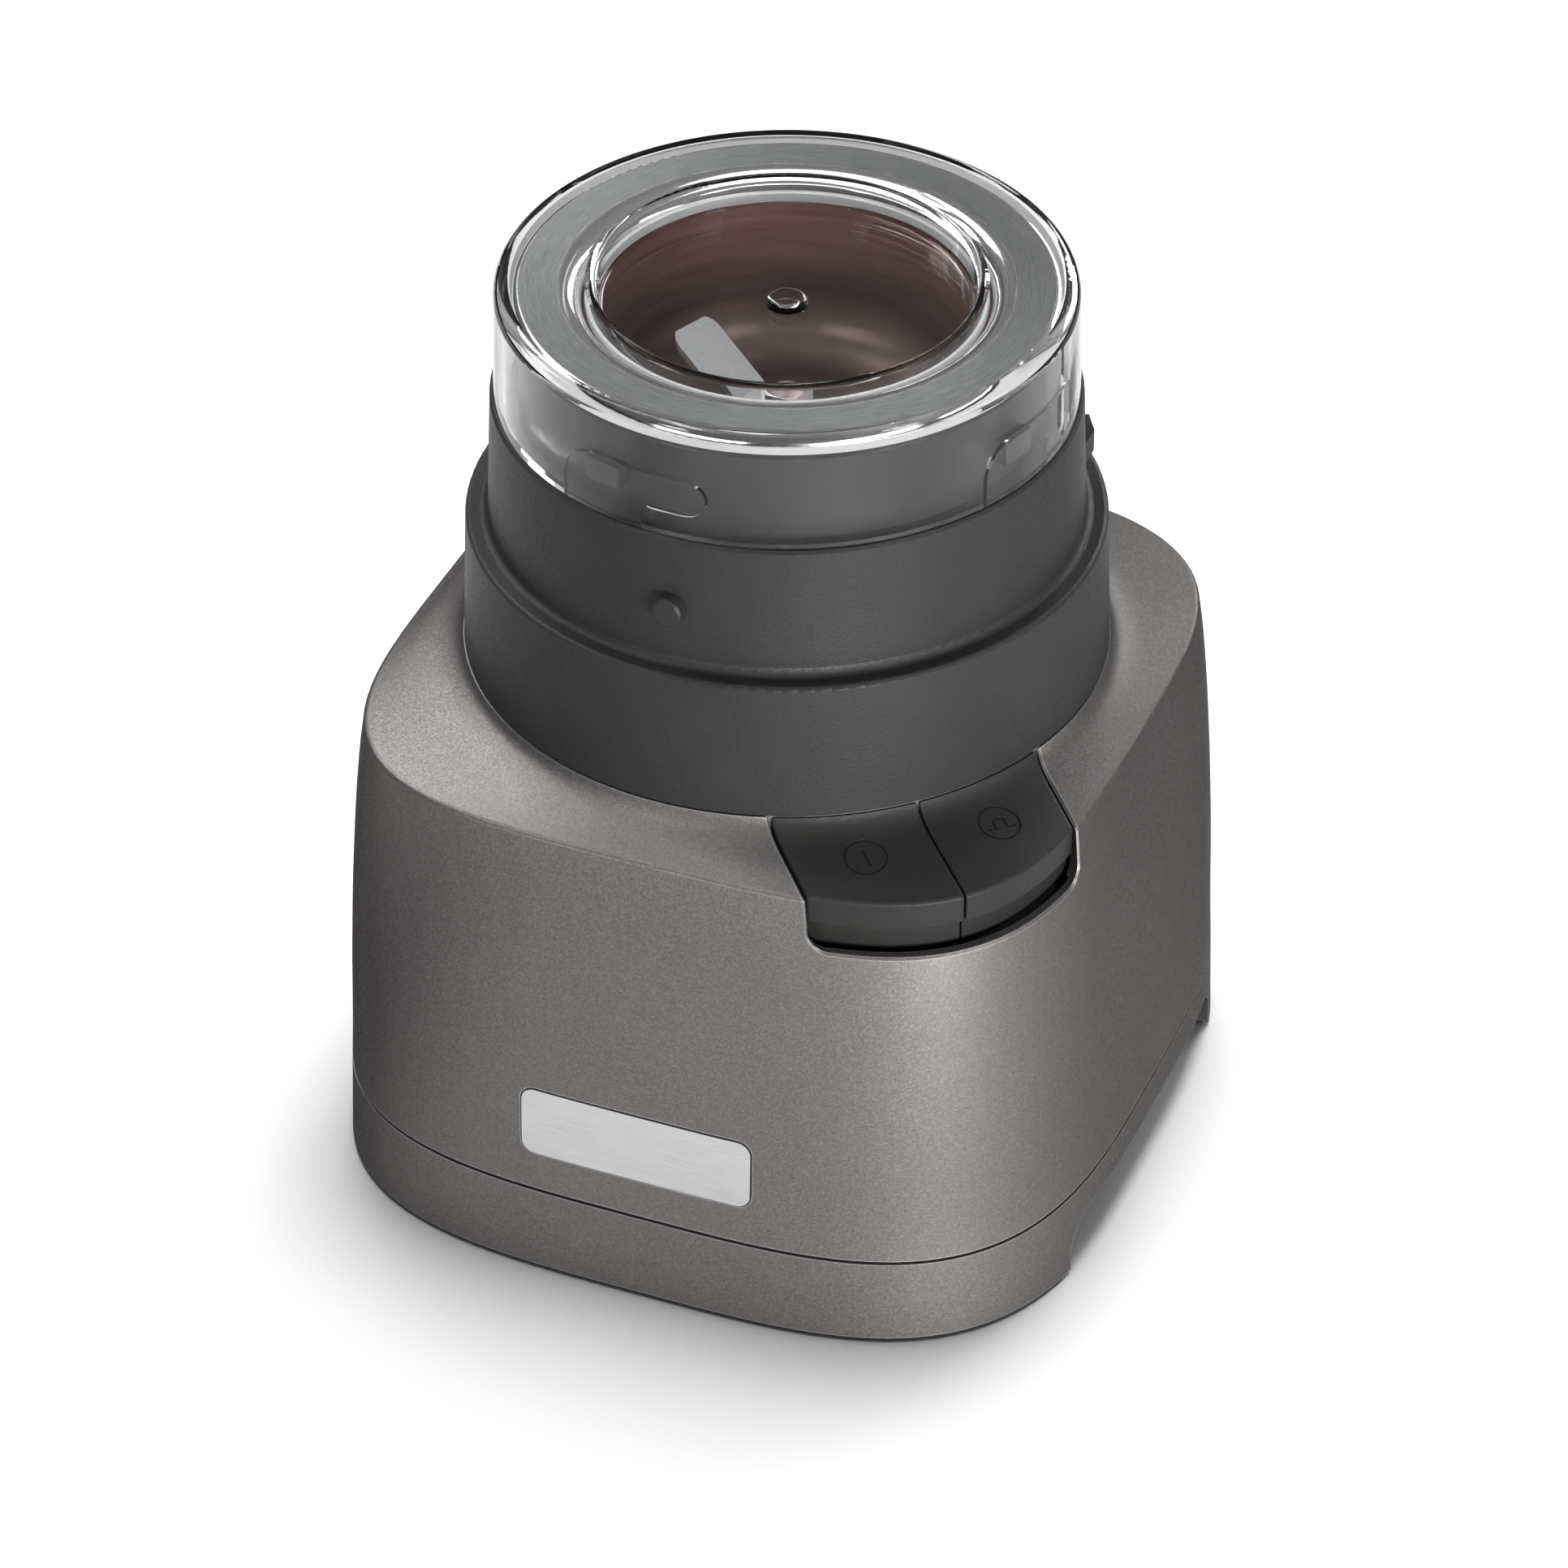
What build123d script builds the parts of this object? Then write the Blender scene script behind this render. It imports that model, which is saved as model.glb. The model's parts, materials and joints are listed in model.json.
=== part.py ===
"""Mini chopper: a soft-square motor base with a twist-on grinding mill.

Frame: origin on the table under the mill axis, +Z up, the badge on the -Y face,
the two paddle buttons in the +X -Y corner. All dimensions in millimetres.
"""
import os
from math import cos, pi, radians, sin, sqrt

from build123d import *

os.makedirs("parts", exist_ok=True)

# ------------------------------------------------------------------ driving dimensions
# Motor base wall: soft square |x/w|^n + |y/w|^n = 1 as (height, half width w, exponent n)
WALL = [
    (1.0, 85.02, 3.42),
    (20.9, 84.27, 3.44),
    (50.0, 82.93, 3.53),
    (75.0, 81.42, 3.61),
    (90.0, 80.21, 3.66),
    (100.0, 79.19, 3.69),
    (108.5, 78.05, 3.71),
]
# Top of the base: from the crisp outer edge up the cove to the ring under the mill collar
CAP = [
    (108.5, 78.05, 3.71),
    (109.9, 75.2, 2.9),
    (111.6, 72.0, 2.2),
    (113.5, 69.1, 2.0),
    (115.9, 67.25, 2.0),
]
WALL_T = 2.8            # shell thickness of the base mouldings
SKIRT_Z = 1.0           # lower edge of the skirt; the feet stand 1 mm lower
SEAM_LOW = 20.4         # top edge of the lower housing
SEAM_HIGH = 21.2        # bottom edge of the upper housing
ROOF_IN = 105.6         # inside of the upper housing's roof
ROOF_HOLE_R = 58.9
ARCH_HALF = 44.5        # finger arches in both side skirts
ARCH_Z = 13.0
ARCH_R = 9.5
PLATE_Z = 15.0          # base plate, under and top face
PLATE_T = 2.5
FOOT_XY = 57.0
FOOT_R = 10.5
POST_XY = (14.0, 71.0)  # screw posts of the base
CORD_Z = 8.8            # cord hole in the rear skirt

# Button corner, in coordinates d (along the -45 degree diagonal) and t (across it)
POCKET_HALF = 29.6
POCKET_Z = 97.0
POCKET_IN_R = 66.8
POCKET_LEDGE = 1.9      # width of the painted ledge under the keys
RIM_BEVEL = 0.5
RIM_EDGES = [(60.13, 29.6, 115.9), (68.65, 29.6, 111.15), (79.0, 29.6, 108.4), (80.0, 29.6, 104.1), (81.9, 28.4, 97.9), (93.2, 0.0, 97.0)]
KEY_GAP = 0.5           # gap between keys and pocket
KEY_ROUND = 0.9         # rounding of the key's upper edges
KEY_SPLIT_ROUND = 0.35  # rounding beside the gap between the keys
KEY_SPLIT = 0.22        # half the gap between the two keys
KEY_FRONT_W = 77.2      # soft-square half width of the key's front lip
KEY_STEP = 1.8          # set-back of the lower tier under the lip
KEY_LIP_Z = 102.6
KEY_BOTTOM_Z = 96.3
KEY_WALL = 2.2
KEY_ROOF_Z = 106.3
PIVOT_D, PIVOT_Z, PIVOT_R = 72.5, 102.5, 1.5
STEM_D, STEM_T, STEM_R = 78.0, 13.0, 1.8
STEM_BOTTOM_Z = 92.6
WELL_Z = 91.6
WELL_FLOOR = 94.0
BOARD_Z = 74.0

# Drive seat and interlock
SEAT_R = 58.6
SEAT_TOP = 132.0
LUG_ANGLES = (-90.0, 30.0, 150.0)
MILL_TWIST = 20.0
RING_IN, RING_OUT = 43.0, 53.0
RING_Z0, RING_Z1 = 122.5, 127.5
PRONG_R0, PRONG_R1 = 46.0, 50.0
PRONG_ANGLES = (0.0, 120.0, 240.0)

# Motor
SHAFT_R = 4.0
BEARING_R = 11.0
ROTOR_R = 22.4
STATOR_HALF = 34.0
STACK_Z0, STACK_Z1 = 42.0, 76.0
BOLT_XY = 29.0
MOUNT_R = 36.0

# Mill
COLLAR_Z0, COLLAR_Z1 = 116.2, 146.6
COLLAR_R0, COLLAR_R1 = 67.04, 66.0
COLLAR_IN = 62.3
BODY_R0, BODY_R1 = 61.3, 60.2
SHOULDER_Z = 175.2
NECK_R = 54.6
NECK_TOP = 196.8
PEG_Z, PEG_R, PEG_OUT = 159.8, 3.1, 63.9
CATCH_Z0, CATCH_Z1, CATCH_OUT = 154.6, 159.6, 63.3
BOWL_T = 0.8
BOWL_FLOOR = 160.8
FLANGE_Z = 198.3
FLANGE_R = 55.1
BLADE_AZ = 157.0

# Lid
LID_Z0, LID_TOP = 175.6, 201.0
LID_R0, LID_R1 = 59.5, 58.9
LID_TWIST = 17.0
SLOT_A0, SLOT_A1, SLOT_AC = -116.5, -97.0, -83.5
SLOT_Z0, SLOT_Z1 = 180.2, 188.0
SLOT_ROUND = 8.0        # large round at the entry of a recess
LID_LUG = (-110.5, -102.5)
LID_LUG_Z = (181.6, 186.6)

# ------------------------------------------------------------------ frames and helpers
DIAG = (cos(radians(-45)), sin(radians(-45)), 0)
ACROSS = (cos(radians(45)), sin(radians(45)), 0)
MINZ = (Align.CENTER, Align.CENTER, Align.MIN)
UP = (0, 0, 1)


def wall_at(z, grow=0.0):
    """(half width, exponent) of the outer wall at a height."""
    for (z0, w0, n0), (z1, w1, n1) in zip(WALL, WALL[1:]):
        if z <= z1 or z1 == WALL[-1][0]:
            k = (z - z0) / (z1 - z0)
            return w0 + k * (w1 - w0) + grow, n0 + k * (n1 - n0)


def soft_points(w, n, count=48):
    """Points of a soft square, evenly spaced in angle."""
    pts = []
    for i in range(count):
        a = 2 * pi * i / count
        r = w * (abs(cos(a)) ** n + abs(sin(a)) ** n) ** (-1 / n)
        pts.append((r * cos(a), r * sin(a)))
    return pts


def soft_square(z, w, n):
    """Soft-square profile at a height."""
    with BuildSketch(Plane.XY.offset(z)) as profile:
        with BuildLine():
            Spline(*soft_points(w, n), periodic=True)
        make_face()
    return profile.sketch


def soft_ring(z, w_out, w_in, n):
    """Soft-square ring profile at a height."""
    with BuildSketch(Plane.XY.offset(z)) as profile:
        with BuildLine():
            Spline(*soft_points(w_out, n), periodic=True)
        make_face()
        with BuildLine():
            Spline(*soft_points(w_in, n), periodic=True)
        make_face(mode=Mode.SUBTRACT)
    return profile.sketch


def wall_loft(z0, z1, grow=0.0, mode=Mode.ADD):
    """Solid inside the base wall between two heights, grown or shrunk."""
    levels = [z0] + [z for z, _, _ in WALL if z0 + 3 < z < z1 - 3] + [z1]
    loft([soft_square(z, *wall_at(z, grow)) for z in levels], mode=mode)


def radial_plane(angle, z=0.0):
    """Plane through the axis at an angle: x is the radius, y is the height."""
    a = radians(angle)
    return Plane(origin=(0, 0, z), x_dir=(cos(a), sin(a), 0), z_dir=(sin(a), -cos(a), 0))


def arc_block(a0, a1, r0, r1, z0, z1, mode=Mode.ADD):
    """Block between two radii, two heights and two angles."""
    with BuildSketch(radial_plane(a0)) as profile:
        with Locations(((r0 + r1) / 2, (z0 + z1) / 2)):
            Rectangle(r1 - r0, z1 - z0)
    revolve(profile.sketch, axis=Axis.Z, revolution_arc=a1 - a0, mode=mode)


def tube(r0, r1, z0, z1, mode=Mode.ADD, at=((0, 0),)):
    """Ring of inner radius r0 (0 for a disc) and outer radius r1."""
    with BuildSketch(Plane.XY.offset(z0)) as profile:
        with Locations(*at):
            Circle(r1)
            if r0 > 0:
                Circle(r0, mode=Mode.SUBTRACT)
    extrude(profile.sketch, amount=z1 - z0, dir=UP, mode=mode)


def diag_plane(z):
    """Horizontal plane with x along the button diagonal and y across it."""
    return Plane(origin=(0, 0, z), x_dir=DIAG, z_dir=(0, 0, 1))


def diag_box(d0, d1, t0, t1, z0, z1, mode=Mode.ADD):
    with BuildSketch(diag_plane(z0)) as profile:
        with Locations(((d0 + d1) / 2, (t0 + t1) / 2)):
            Rectangle(d1 - d0, t1 - t0)
    extrude(profile.sketch, amount=z1 - z0, dir=UP, mode=mode)


def diag_tube(d, t, r0, r1, z0, z1, mode=Mode.ADD):
    with BuildSketch(diag_plane(z0)) as profile:
        with Locations((d, t)):
            Circle(r1)
            if r0 > 0:
                Circle(r0, mode=Mode.SUBTRACT)
    extrude(profile.sketch, amount=z1 - z0, dir=UP, mode=mode)


def diag_center(edge):
    """Middle of an edge as (d, t, z) in the coordinates of the button corner."""
    c = edge.center()
    return (c.X - c.Y) * sqrt(0.5), (c.X + c.Y) * sqrt(0.5), c.Z


def on_pocket_rim(edge):
    """True for the outer rim edges of the button pocket: the two ends, their corners and the floor line."""
    d, t, z = diag_center(edge)
    return any(abs(d - rd) < 0.25 and abs(abs(t) - rt) < 0.25 and abs(z - rz) < 0.25 for rd, rt, rz in RIM_EDGES)


def revolved(points):
    """Solid of revolution of a closed polygon of (radius, height) points."""
    with BuildSketch(Plane.XZ) as profile:
        with BuildLine():
            Polyline(*points, close=True)
        make_face()
    revolve(profile.sketch, axis=Axis.Z)


# ------------------------------------------------------------------ construction tools
# Solid under the top surface of the base, used to shape the keys
with BuildPart() as cap_solid:
    loft([soft_square(*level) for level in CAP])
    extrude(soft_square(88.0, CAP[0][1], CAP[0][2]), amount=CAP[0][0] - 88.0, dir=UP)

# Button pocket, open to the top and the corner
with BuildPart() as pocket_tool:
    with BuildSketch(Plane(origin=(0, 0, 0), x_dir=ACROSS, z_dir=DIAG).offset(40.0)):
        with Locations((0, POCKET_Z + 20)):
            RectangleRounded(2 * POCKET_HALF, 40, 3.6)
    extrude(amount=70)
    tube(0, POCKET_IN_R, 80, 150, mode=Mode.SUBTRACT)

# Room behind the ledge under the keys
with BuildPart() as ledge_tool:
    wall_loft(94.0, POCKET_Z + 0.5, grow=-POCKET_LEDGE)
    diag_box(70, 112, -POCKET_HALF + 1.0, POCKET_HALF - 1.0, 93.0, POCKET_Z + 1.0, mode=Mode.INTERSECT)

# Recess of the badge: outside the wall offset by the recess depth
BADGE_W, BADGE_H, BADGE_Z, BADGE_CORNER = 51.0, 16.2, 38.6, 3.0
with BuildPart() as badge_tool:
    with BuildSketch(Plane.XZ.offset(70)):
        with Locations((0, BADGE_Z)):
            RectangleRounded(BADGE_W + 0.7, BADGE_H + 0.7, BADGE_CORNER + 0.35)
    extrude(amount=25)
    wall_loft(24, 54, grow=-0.8, mode=Mode.SUBTRACT)

# ------------------------------------------------------------------ base mouldings
with BuildPart() as upper_housing:
    wall_loft(SEAM_HIGH, 108.5)
    loft([soft_square(*level) for level in CAP])
    edge = upper_housing.edges().filter_by_position(Axis.Z, 108.4, 108.6)
    try:
        fillet(edge, radius=1.3)
    except ValueError:
        pass
    wall_loft(SEAM_HIGH - 1.0, ROOF_IN, grow=-WALL_T, mode=Mode.SUBTRACT)
    extrude(soft_square(SEAM_HIGH - 1.0, 83.0, 3.44), amount=5.2, dir=UP, mode=Mode.SUBTRACT)
    tube(0, ROOF_HOLE_R, 100, 125, mode=Mode.SUBTRACT)
    add(pocket_tool.part, mode=Mode.SUBTRACT)
    # fine bevel along the rim of the pocket
    chamfer([e for e in upper_housing.edges() if on_pocket_rim(e)], length=RIM_BEVEL)
    add(ledge_tool.part, mode=Mode.SUBTRACT)
    add(badge_tool.part, mode=Mode.SUBTRACT)
    # screw posts
    tube(1.65, 4.6, 25.0, ROOF_IN + 0.4, at=[(sx * POST_XY[0], sy * POST_XY[1]) for sx in (-1, 1) for sy in (-1, 1)])
upper_housing.part.label = "upper_housing"
export_step(upper_housing.part, "parts/upper_housing.step")

with BuildPart() as lower_housing:
    wall_loft(SKIRT_Z, SEAM_LOW)
    wall_loft(SKIRT_Z - 0.5, SEAM_LOW + 0.5, grow=-WALL_T, mode=Mode.SUBTRACT)
    # inner ledge over the base plate and the locating tongue inside the upper housing
    extrude(soft_ring(17.7, 82.2, 77.0, 3.44), amount=2.0, dir=UP)
    extrude(soft_ring(17.7, 82.75, 80.3, 3.44), amount=25.2 - 17.7, dir=UP)
    # finger arches through both side skirts
    with BuildSketch(Plane.YZ):
        with Locations((0, ARCH_Z - 15)):
            RectangleRounded(2 * ARCH_HALF, 30, ARCH_R)
    extrude(amount=120, both=True, mode=Mode.SUBTRACT)
    # cord hole in the rear wall
    with BuildSketch(Plane.XZ.offset(-70)):
        with Locations((0, CORD_Z)):
            Circle(4.4)
    extrude(amount=-25, mode=Mode.SUBTRACT)
lower_housing.part.label = "lower_housing"
export_step(lower_housing.part, "parts/lower_housing.step")

with BuildPart() as base_plate:
    extrude(soft_square(PLATE_Z, 81.4, 3.43), amount=PLATE_T, dir=UP)
    posts = [(sx * POST_XY[0], sy * POST_XY[1]) for sx in (-1, 1) for sy in (-1, 1)]
    tube(2.3, 4.6, PLATE_Z + PLATE_T, 24.8, at=posts)
    tube(0, 2.3, PLATE_Z - 1, PLATE_Z + 5, mode=Mode.SUBTRACT, at=posts)
    tube(0, 3.7, PLATE_Z - 1, PLATE_Z + 5, mode=Mode.SUBTRACT, at=[(sx * FOOT_XY, sy * FOOT_XY) for sx in (-1, 1) for sy in (-1, 1)])
    # cooling slots under the motor
    with BuildSketch(Plane.XY.offset(PLATE_Z - 1)):
        with GridLocations(9.0, 62.0, 7, 2):
            SlotOverall(30.0, 3.2, rotation=90)
    extrude(amount=6, mode=Mode.SUBTRACT)
base_plate.part.label = "base_plate"
export_step(base_plate.part, "parts/base_plate.step")

with BuildPart() as rubber_feet:
    with Locations(*[(sx * FOOT_XY, sy * FOOT_XY, 0) for sx in (-1, 1) for sy in (-1, 1)]):
        Cylinder(FOOT_R, 3.0, align=MINZ)
    with Locations(*[(sx * FOOT_XY, sy * FOOT_XY, 3.0) for sx in (-1, 1) for sy in (-1, 1)]):
        Cone(FOOT_R, 7.0, 8.0, align=MINZ)
    with Locations(*[(sx * FOOT_XY, sy * FOOT_XY, 11.0) for sx in (-1, 1) for sy in (-1, 1)]):
        Cylinder(7.0, 4.0, align=MINZ)
    with Locations(*[(sx * FOOT_XY, sy * FOOT_XY, 15.0) for sx in (-1, 1) for sy in (-1, 1)]):
        Cylinder(3.6, 2.5, align=MINZ)
    with Locations(*[(sx * FOOT_XY, sy * FOOT_XY, 17.5) for sx in (-1, 1) for sy in (-1, 1)]):
        Cone(5.2, 3.4, 2.2, align=MINZ)
rubber_feet.part.label = "rubber_feet"
export_step(rubber_feet.part, "parts/rubber_feet.step")

with BuildPart() as base_screws:
    spots = [(sx * POST_XY[0], sy * POST_XY[1]) for sx in (-1, 1) for sy in (-1, 1)]
    tube(0, 4.0, PLATE_Z - 2.4, PLATE_Z, at=spots)
    tube(0, 2.1, PLATE_Z, 25.0, at=spots)
    tube(0, 1.6, 25.0, 42.0, at=spots)
    with BuildSketch(Plane.XY.offset(PLATE_Z - 2.4)):
        with Locations(*spots):
            Rectangle(5.0, 1.0)
            Rectangle(1.0, 5.0)
    extrude(amount=1.3, mode=Mode.SUBTRACT)
base_screws.part.label = "base_screws"
export_step(base_screws.part, "parts/base_screws.step")

with BuildPart() as badge_plate:
    with BuildSketch(Plane.XZ.offset(70)):
        with Locations((0, BADGE_Z)):
            RectangleRounded(BADGE_W, BADGE_H, BADGE_CORNER)
    extrude(amount=25)
    wall_loft(24, 54, grow=0.15, mode=Mode.INTERSECT)
    wall_loft(24, 54, grow=-0.75, mode=Mode.SUBTRACT)
badge_plate.part.label = "badge_plate"
export_step(badge_plate.part, "parts/badge_plate.step")

with BuildPart() as cord_grommet:
    with BuildSketch(Plane.XZ.offset(-79.4)):
        with Locations((0, CORD_Z)):
            Circle(5.6)
            Circle(3.0, mode=Mode.SUBTRACT)
    extrude(amount=-2.2)
    with BuildSketch(Plane.XZ.offset(-81.5)):
        with Locations((0, CORD_Z)):
            Circle(4.3)
            Circle(3.0, mode=Mode.SUBTRACT)
    extrude(amount=-2.9)
cord_grommet.part.label = "cord_grommet"
export_step(cord_grommet.part, "parts/cord_grommet.step")

# ------------------------------------------------------------------ buttons and switches
with BuildPart() as button_well:
    diag_box(60, 100, -31.4, 31.4, WELL_Z, 105.4)
    wall_loft(90, 107, grow=-WALL_T - 0.3, mode=Mode.INTERSECT)
    diag_box(55, 112, -29.75, 29.75, WELL_FLOOR, 120, mode=Mode.SUBTRACT)
    for side in (-1, 1):
        for t in (9.75, 20.75):
            diag_box(70.6, 76.0, side * t - 1.25, side * t + 1.25, WELL_FLOOR - 0.5, 104.4)
        diag_tube(STEM_D, side * STEM_T, 0, 3.2, WELL_Z - 1, WELL_FLOOR + 1, mode=Mode.SUBTRACT)
        diag_tube(60.5, side * 20.0, 0, 2.8, BOARD_Z + 1.6, WELL_Z + 0.2)
    with BuildSketch(Plane(origin=(0, 0, 0), x_dir=DIAG, z_dir=(-ACROSS[0], -ACROSS[1], 0))):
        with Locations((PIVOT_D, PIVOT_Z)):
            Circle(PIVOT_R)
    extrude(amount=40, both=True, mode=Mode.SUBTRACT)
button_well.part.label = "button_well"
export_step(button_well.part, "parts/button_well.step")

with BuildPart() as pivot_pins:
    for side in (-1, 1):
        with BuildSketch(Plane(origin=(0, 0, 0), x_dir=DIAG, z_dir=(side * ACROSS[0], side * ACROSS[1], 0)).offset(3.4)):
            with Locations((PIVOT_D, -side * PIVOT_Z)):
                Circle(PIVOT_R)
        extrude(amount=23.0)
pivot_pins.part.label = "pivot_pins"
export_step(pivot_pins.part, "parts/pivot_pins.step")


def key_profile(side, w, t_in, t_out, r_in, z):
    """Plan of one key at a height: between the collar ring, the corner and its neighbours."""
    with BuildSketch(Plane.XY.offset(z)) as profile:
        with BuildLine():
            Spline(*soft_points(w, 3.71), periodic=True)
        make_face()
        Circle(r_in, mode=Mode.SUBTRACT)
        with Locations(Location((0, 0, 0), (0, 0, -45))):
            with Locations((75, side * (t_in + t_out) / 2)):
                Rectangle(60, t_out - t_in, mode=Mode.INTERSECT)
    return profile.sketch


def key_body(side):
    """One paddle key, added to the part being built."""
    r_in = POCKET_IN_R + KEY_GAP
    t_out = POCKET_HALF - KEY_GAP
    extrude(key_profile(side, KEY_FRONT_W, KEY_SPLIT, t_out, r_in, KEY_LIP_Z), amount=20, dir=UP)
    extrude(key_profile(side, KEY_FRONT_W - KEY_STEP, KEY_SPLIT, t_out, r_in, KEY_BOTTOM_Z),
            amount=KEY_LIP_Z - KEY_BOTTOM_Z, dir=UP)
    add(cap_solid.part, mode=Mode.INTERSECT)


def key_edges(key, split):
    """Upper edges and front corner edges of a key: those beside the gap between the keys, or the others."""
    edges = []
    for e in key.edges():
        d, t, z = diag_center(e)
        upper = z > (106.8 if split else 107.6) or (103 < z < 107.5 and d > 75)
        if upper and sqrt(d * d + t * t) > 68.5 and (abs(t) < 0.6) == split and e.length > 1.0:
            edges.append(e)
    return edges


def key_inside(side):
    """Hollow, hinge knuckles and switch stem of one key."""
    r_in = POCKET_IN_R + KEY_GAP + KEY_WALL
    t_out = POCKET_HALF - KEY_GAP - KEY_WALL
    hollow = key_profile(side, KEY_FRONT_W - KEY_STEP - KEY_WALL, KEY_SPLIT + KEY_WALL, t_out, r_in, KEY_BOTTOM_Z - 1)
    extrude(hollow, amount=KEY_ROOF_Z - KEY_BOTTOM_Z + 1, dir=UP, mode=Mode.SUBTRACT)
    # the inner and lower edge stays clear of the ring as the key tips
    diag_box(55, 70.6, -40, 40, KEY_BOTTOM_Z - 1, 104.6, mode=Mode.SUBTRACT)
    for t in (5.2, 25.2):
        diag_box(70.2, 75.4, side * t - 1.5, side * t + 1.5, 99.8, KEY_ROOF_Z + 0.5)
    with BuildSketch(Plane(origin=(0, 0, 0), x_dir=DIAG, z_dir=(-ACROSS[0], -ACROSS[1], 0))) as bore:
        with Locations((PIVOT_D, PIVOT_Z)):
            Circle(PIVOT_R + 0.06)
    extrude(bore.sketch, amount=26.9, dir=(side * ACROSS[0], side * ACROSS[1], 0), mode=Mode.SUBTRACT)
    diag_tube(STEM_D, side * STEM_T, 0, STEM_R, STEM_BOTTOM_Z, KEY_ROOF_Z + 0.5)


MARK_D, MARK_R, MARK_DEPTH = 74.4, 4.5, 0.3
# engraved marks: a ring with a bar, and a ring with a square pulse
with BuildPart() as on_mark:
    with BuildSketch(diag_plane(106.0)):
        with Locations((MARK_D, -14.6)):
            Circle(MARK_R)
            Circle(MARK_R - 0.5, mode=Mode.SUBTRACT)
            Rectangle(4.6, 0.55)
    extrude(amount=10)
    add(cap_solid.part.moved(Location((0, 0, -MARK_DEPTH))), mode=Mode.SUBTRACT)

with BuildPart() as pulse_mark:
    with BuildSketch(diag_plane(106.0)):
        with Locations((MARK_D, 14.6)):
            Circle(MARK_R)
            Circle(MARK_R - 0.5, mode=Mode.SUBTRACT)
        with Locations((MARK_D + 1.2, 14.6 - 2.1), (MARK_D + 1.2, 14.6 + 2.1)):
            Rectangle(0.55, 1.8)
        with Locations((MARK_D - 1.2, 14.6)):
            Rectangle(0.55, 2.95)
        with Locations((MARK_D, 14.6 - 1.2), (MARK_D, 14.6 + 1.2)):
            Rectangle(2.95, 0.55)
    extrude(amount=10)
    add(cap_solid.part.moved(Location((0, 0, -MARK_DEPTH))), mode=Mode.SUBTRACT)

with BuildPart() as on_button:
    key_body(-1)
    fillet(key_edges(on_button, False), radius=KEY_ROUND)
    fillet(key_edges(on_button, True), radius=KEY_SPLIT_ROUND)
    key_inside(-1)
    add(on_mark.part, mode=Mode.SUBTRACT)
on_button.part.label = "on_button"
export_step(on_button.part, "parts/on_button.step")

with BuildPart() as pulse_button:
    key_body(1)
    fillet(key_edges(pulse_button, False), radius=KEY_ROUND)
    fillet(key_edges(pulse_button, True), radius=KEY_SPLIT_ROUND)
    key_inside(1)
    add(pulse_mark.part, mode=Mode.SUBTRACT)
pulse_button.part.label = "pulse_button"
export_step(pulse_button.part, "parts/pulse_button.step")

LEAF_Z = WELL_FLOOR + 0.05
SPRING_LEAF = [(79.0, LEAF_Z), (84.0, LEAF_Z), (81.1, 100.2), (84.0, 106.2), (80.0, 106.2),
               (80.0, 105.7), (83.1, 105.7), (80.4, 100.2), (83.1, LEAF_Z + 0.5), (79.0, LEAF_Z + 0.5)]
with BuildPart() as on_spring:
    with BuildSketch(Plane(origin=(0, 0, 0), x_dir=DIAG, z_dir=(-ACROSS[0], -ACROSS[1], 0)).offset(4.0)):
        with BuildLine():
            Polyline(*SPRING_LEAF, close=True)
        make_face()
    extrude(amount=4.5)
on_spring.part.label = "on_spring"
export_step(on_spring.part, "parts/on_spring.step")

with BuildPart() as pulse_spring:
    with BuildSketch(Plane(origin=(0, 0, 0), x_dir=DIAG, z_dir=(-ACROSS[0], -ACROSS[1], 0)).offset(-4.0)):
        with BuildLine():
            Polyline(*SPRING_LEAF, close=True)
        make_face()
    extrude(amount=-4.5)
pulse_spring.part.label = "pulse_spring"
export_step(pulse_spring.part, "parts/pulse_spring.step")

with BuildPart() as switch_board:
    diag_box(57.0, 83.0, -22.5, 22.5, BOARD_Z, BOARD_Z + 1.5)
switch_board.part.label = "switch_board"
export_step(switch_board.part, "parts/switch_board.step")

with BuildPart() as microswitches:
    for side in (-1, 1):
        t = side * STEM_T
        diag_box(63.0, 82.8, t - 3.2, t + 3.2, BOARD_Z + 1.6, 88.0)
        diag_tube(STEM_D, t, 0, 1.75, 84.0, 89.0, mode=Mode.SUBTRACT)
microswitches.part.label = "microswitches"
export_step(microswitches.part, "parts/microswitches.step")

with BuildPart() as on_plunger:
    diag_tube(STEM_D, -STEM_T, 0, 1.45, 85.0, STEM_BOTTOM_Z - 0.2)
on_plunger.part.label = "on_plunger"
export_step(on_plunger.part, "parts/on_plunger.step")

with BuildPart() as pulse_plunger:
    diag_tube(STEM_D, STEM_T, 0, 1.45, 85.0, STEM_BOTTOM_Z - 0.2)
pulse_plunger.part.label = "pulse_plunger"
export_step(pulse_plunger.part, "parts/pulse_plunger.step")

# ------------------------------------------------------------------ drive seat and interlock
MOUNT_SPOTS = [(MOUNT_R, 0), (-MOUNT_R, 0), (0, MOUNT_R), (0, -MOUNT_R)]
with BuildPart() as drive_seat:
    tube(55.6, 66.0, 102.4, 105.4)
    tube(55.6, SEAT_R, 105.0, SEAT_TOP)
    tube(13.0, 56.0, 104.5, 107.5)
    tube(50.0, 56.0, 119.5, 122.2)
    tube(0, 57.0, 128.8, SEAT_TOP + 1, mode=Mode.SUBTRACT)
    tube(2.05, 5.5, 100.2, 105.0, at=MOUNT_SPOTS)
    tube(0, 2.05, 99.0, 109.0, mode=Mode.SUBTRACT, at=MOUNT_SPOTS)
    for a in LUG_ANGLES:
        arc_block(a - 8, a + 8, SEAT_R - 0.6, 61.3, 122.6, 126.4)
drive_seat.part.label = "drive_seat"
export_step(drive_seat.part, "parts/drive_seat.step")

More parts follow.
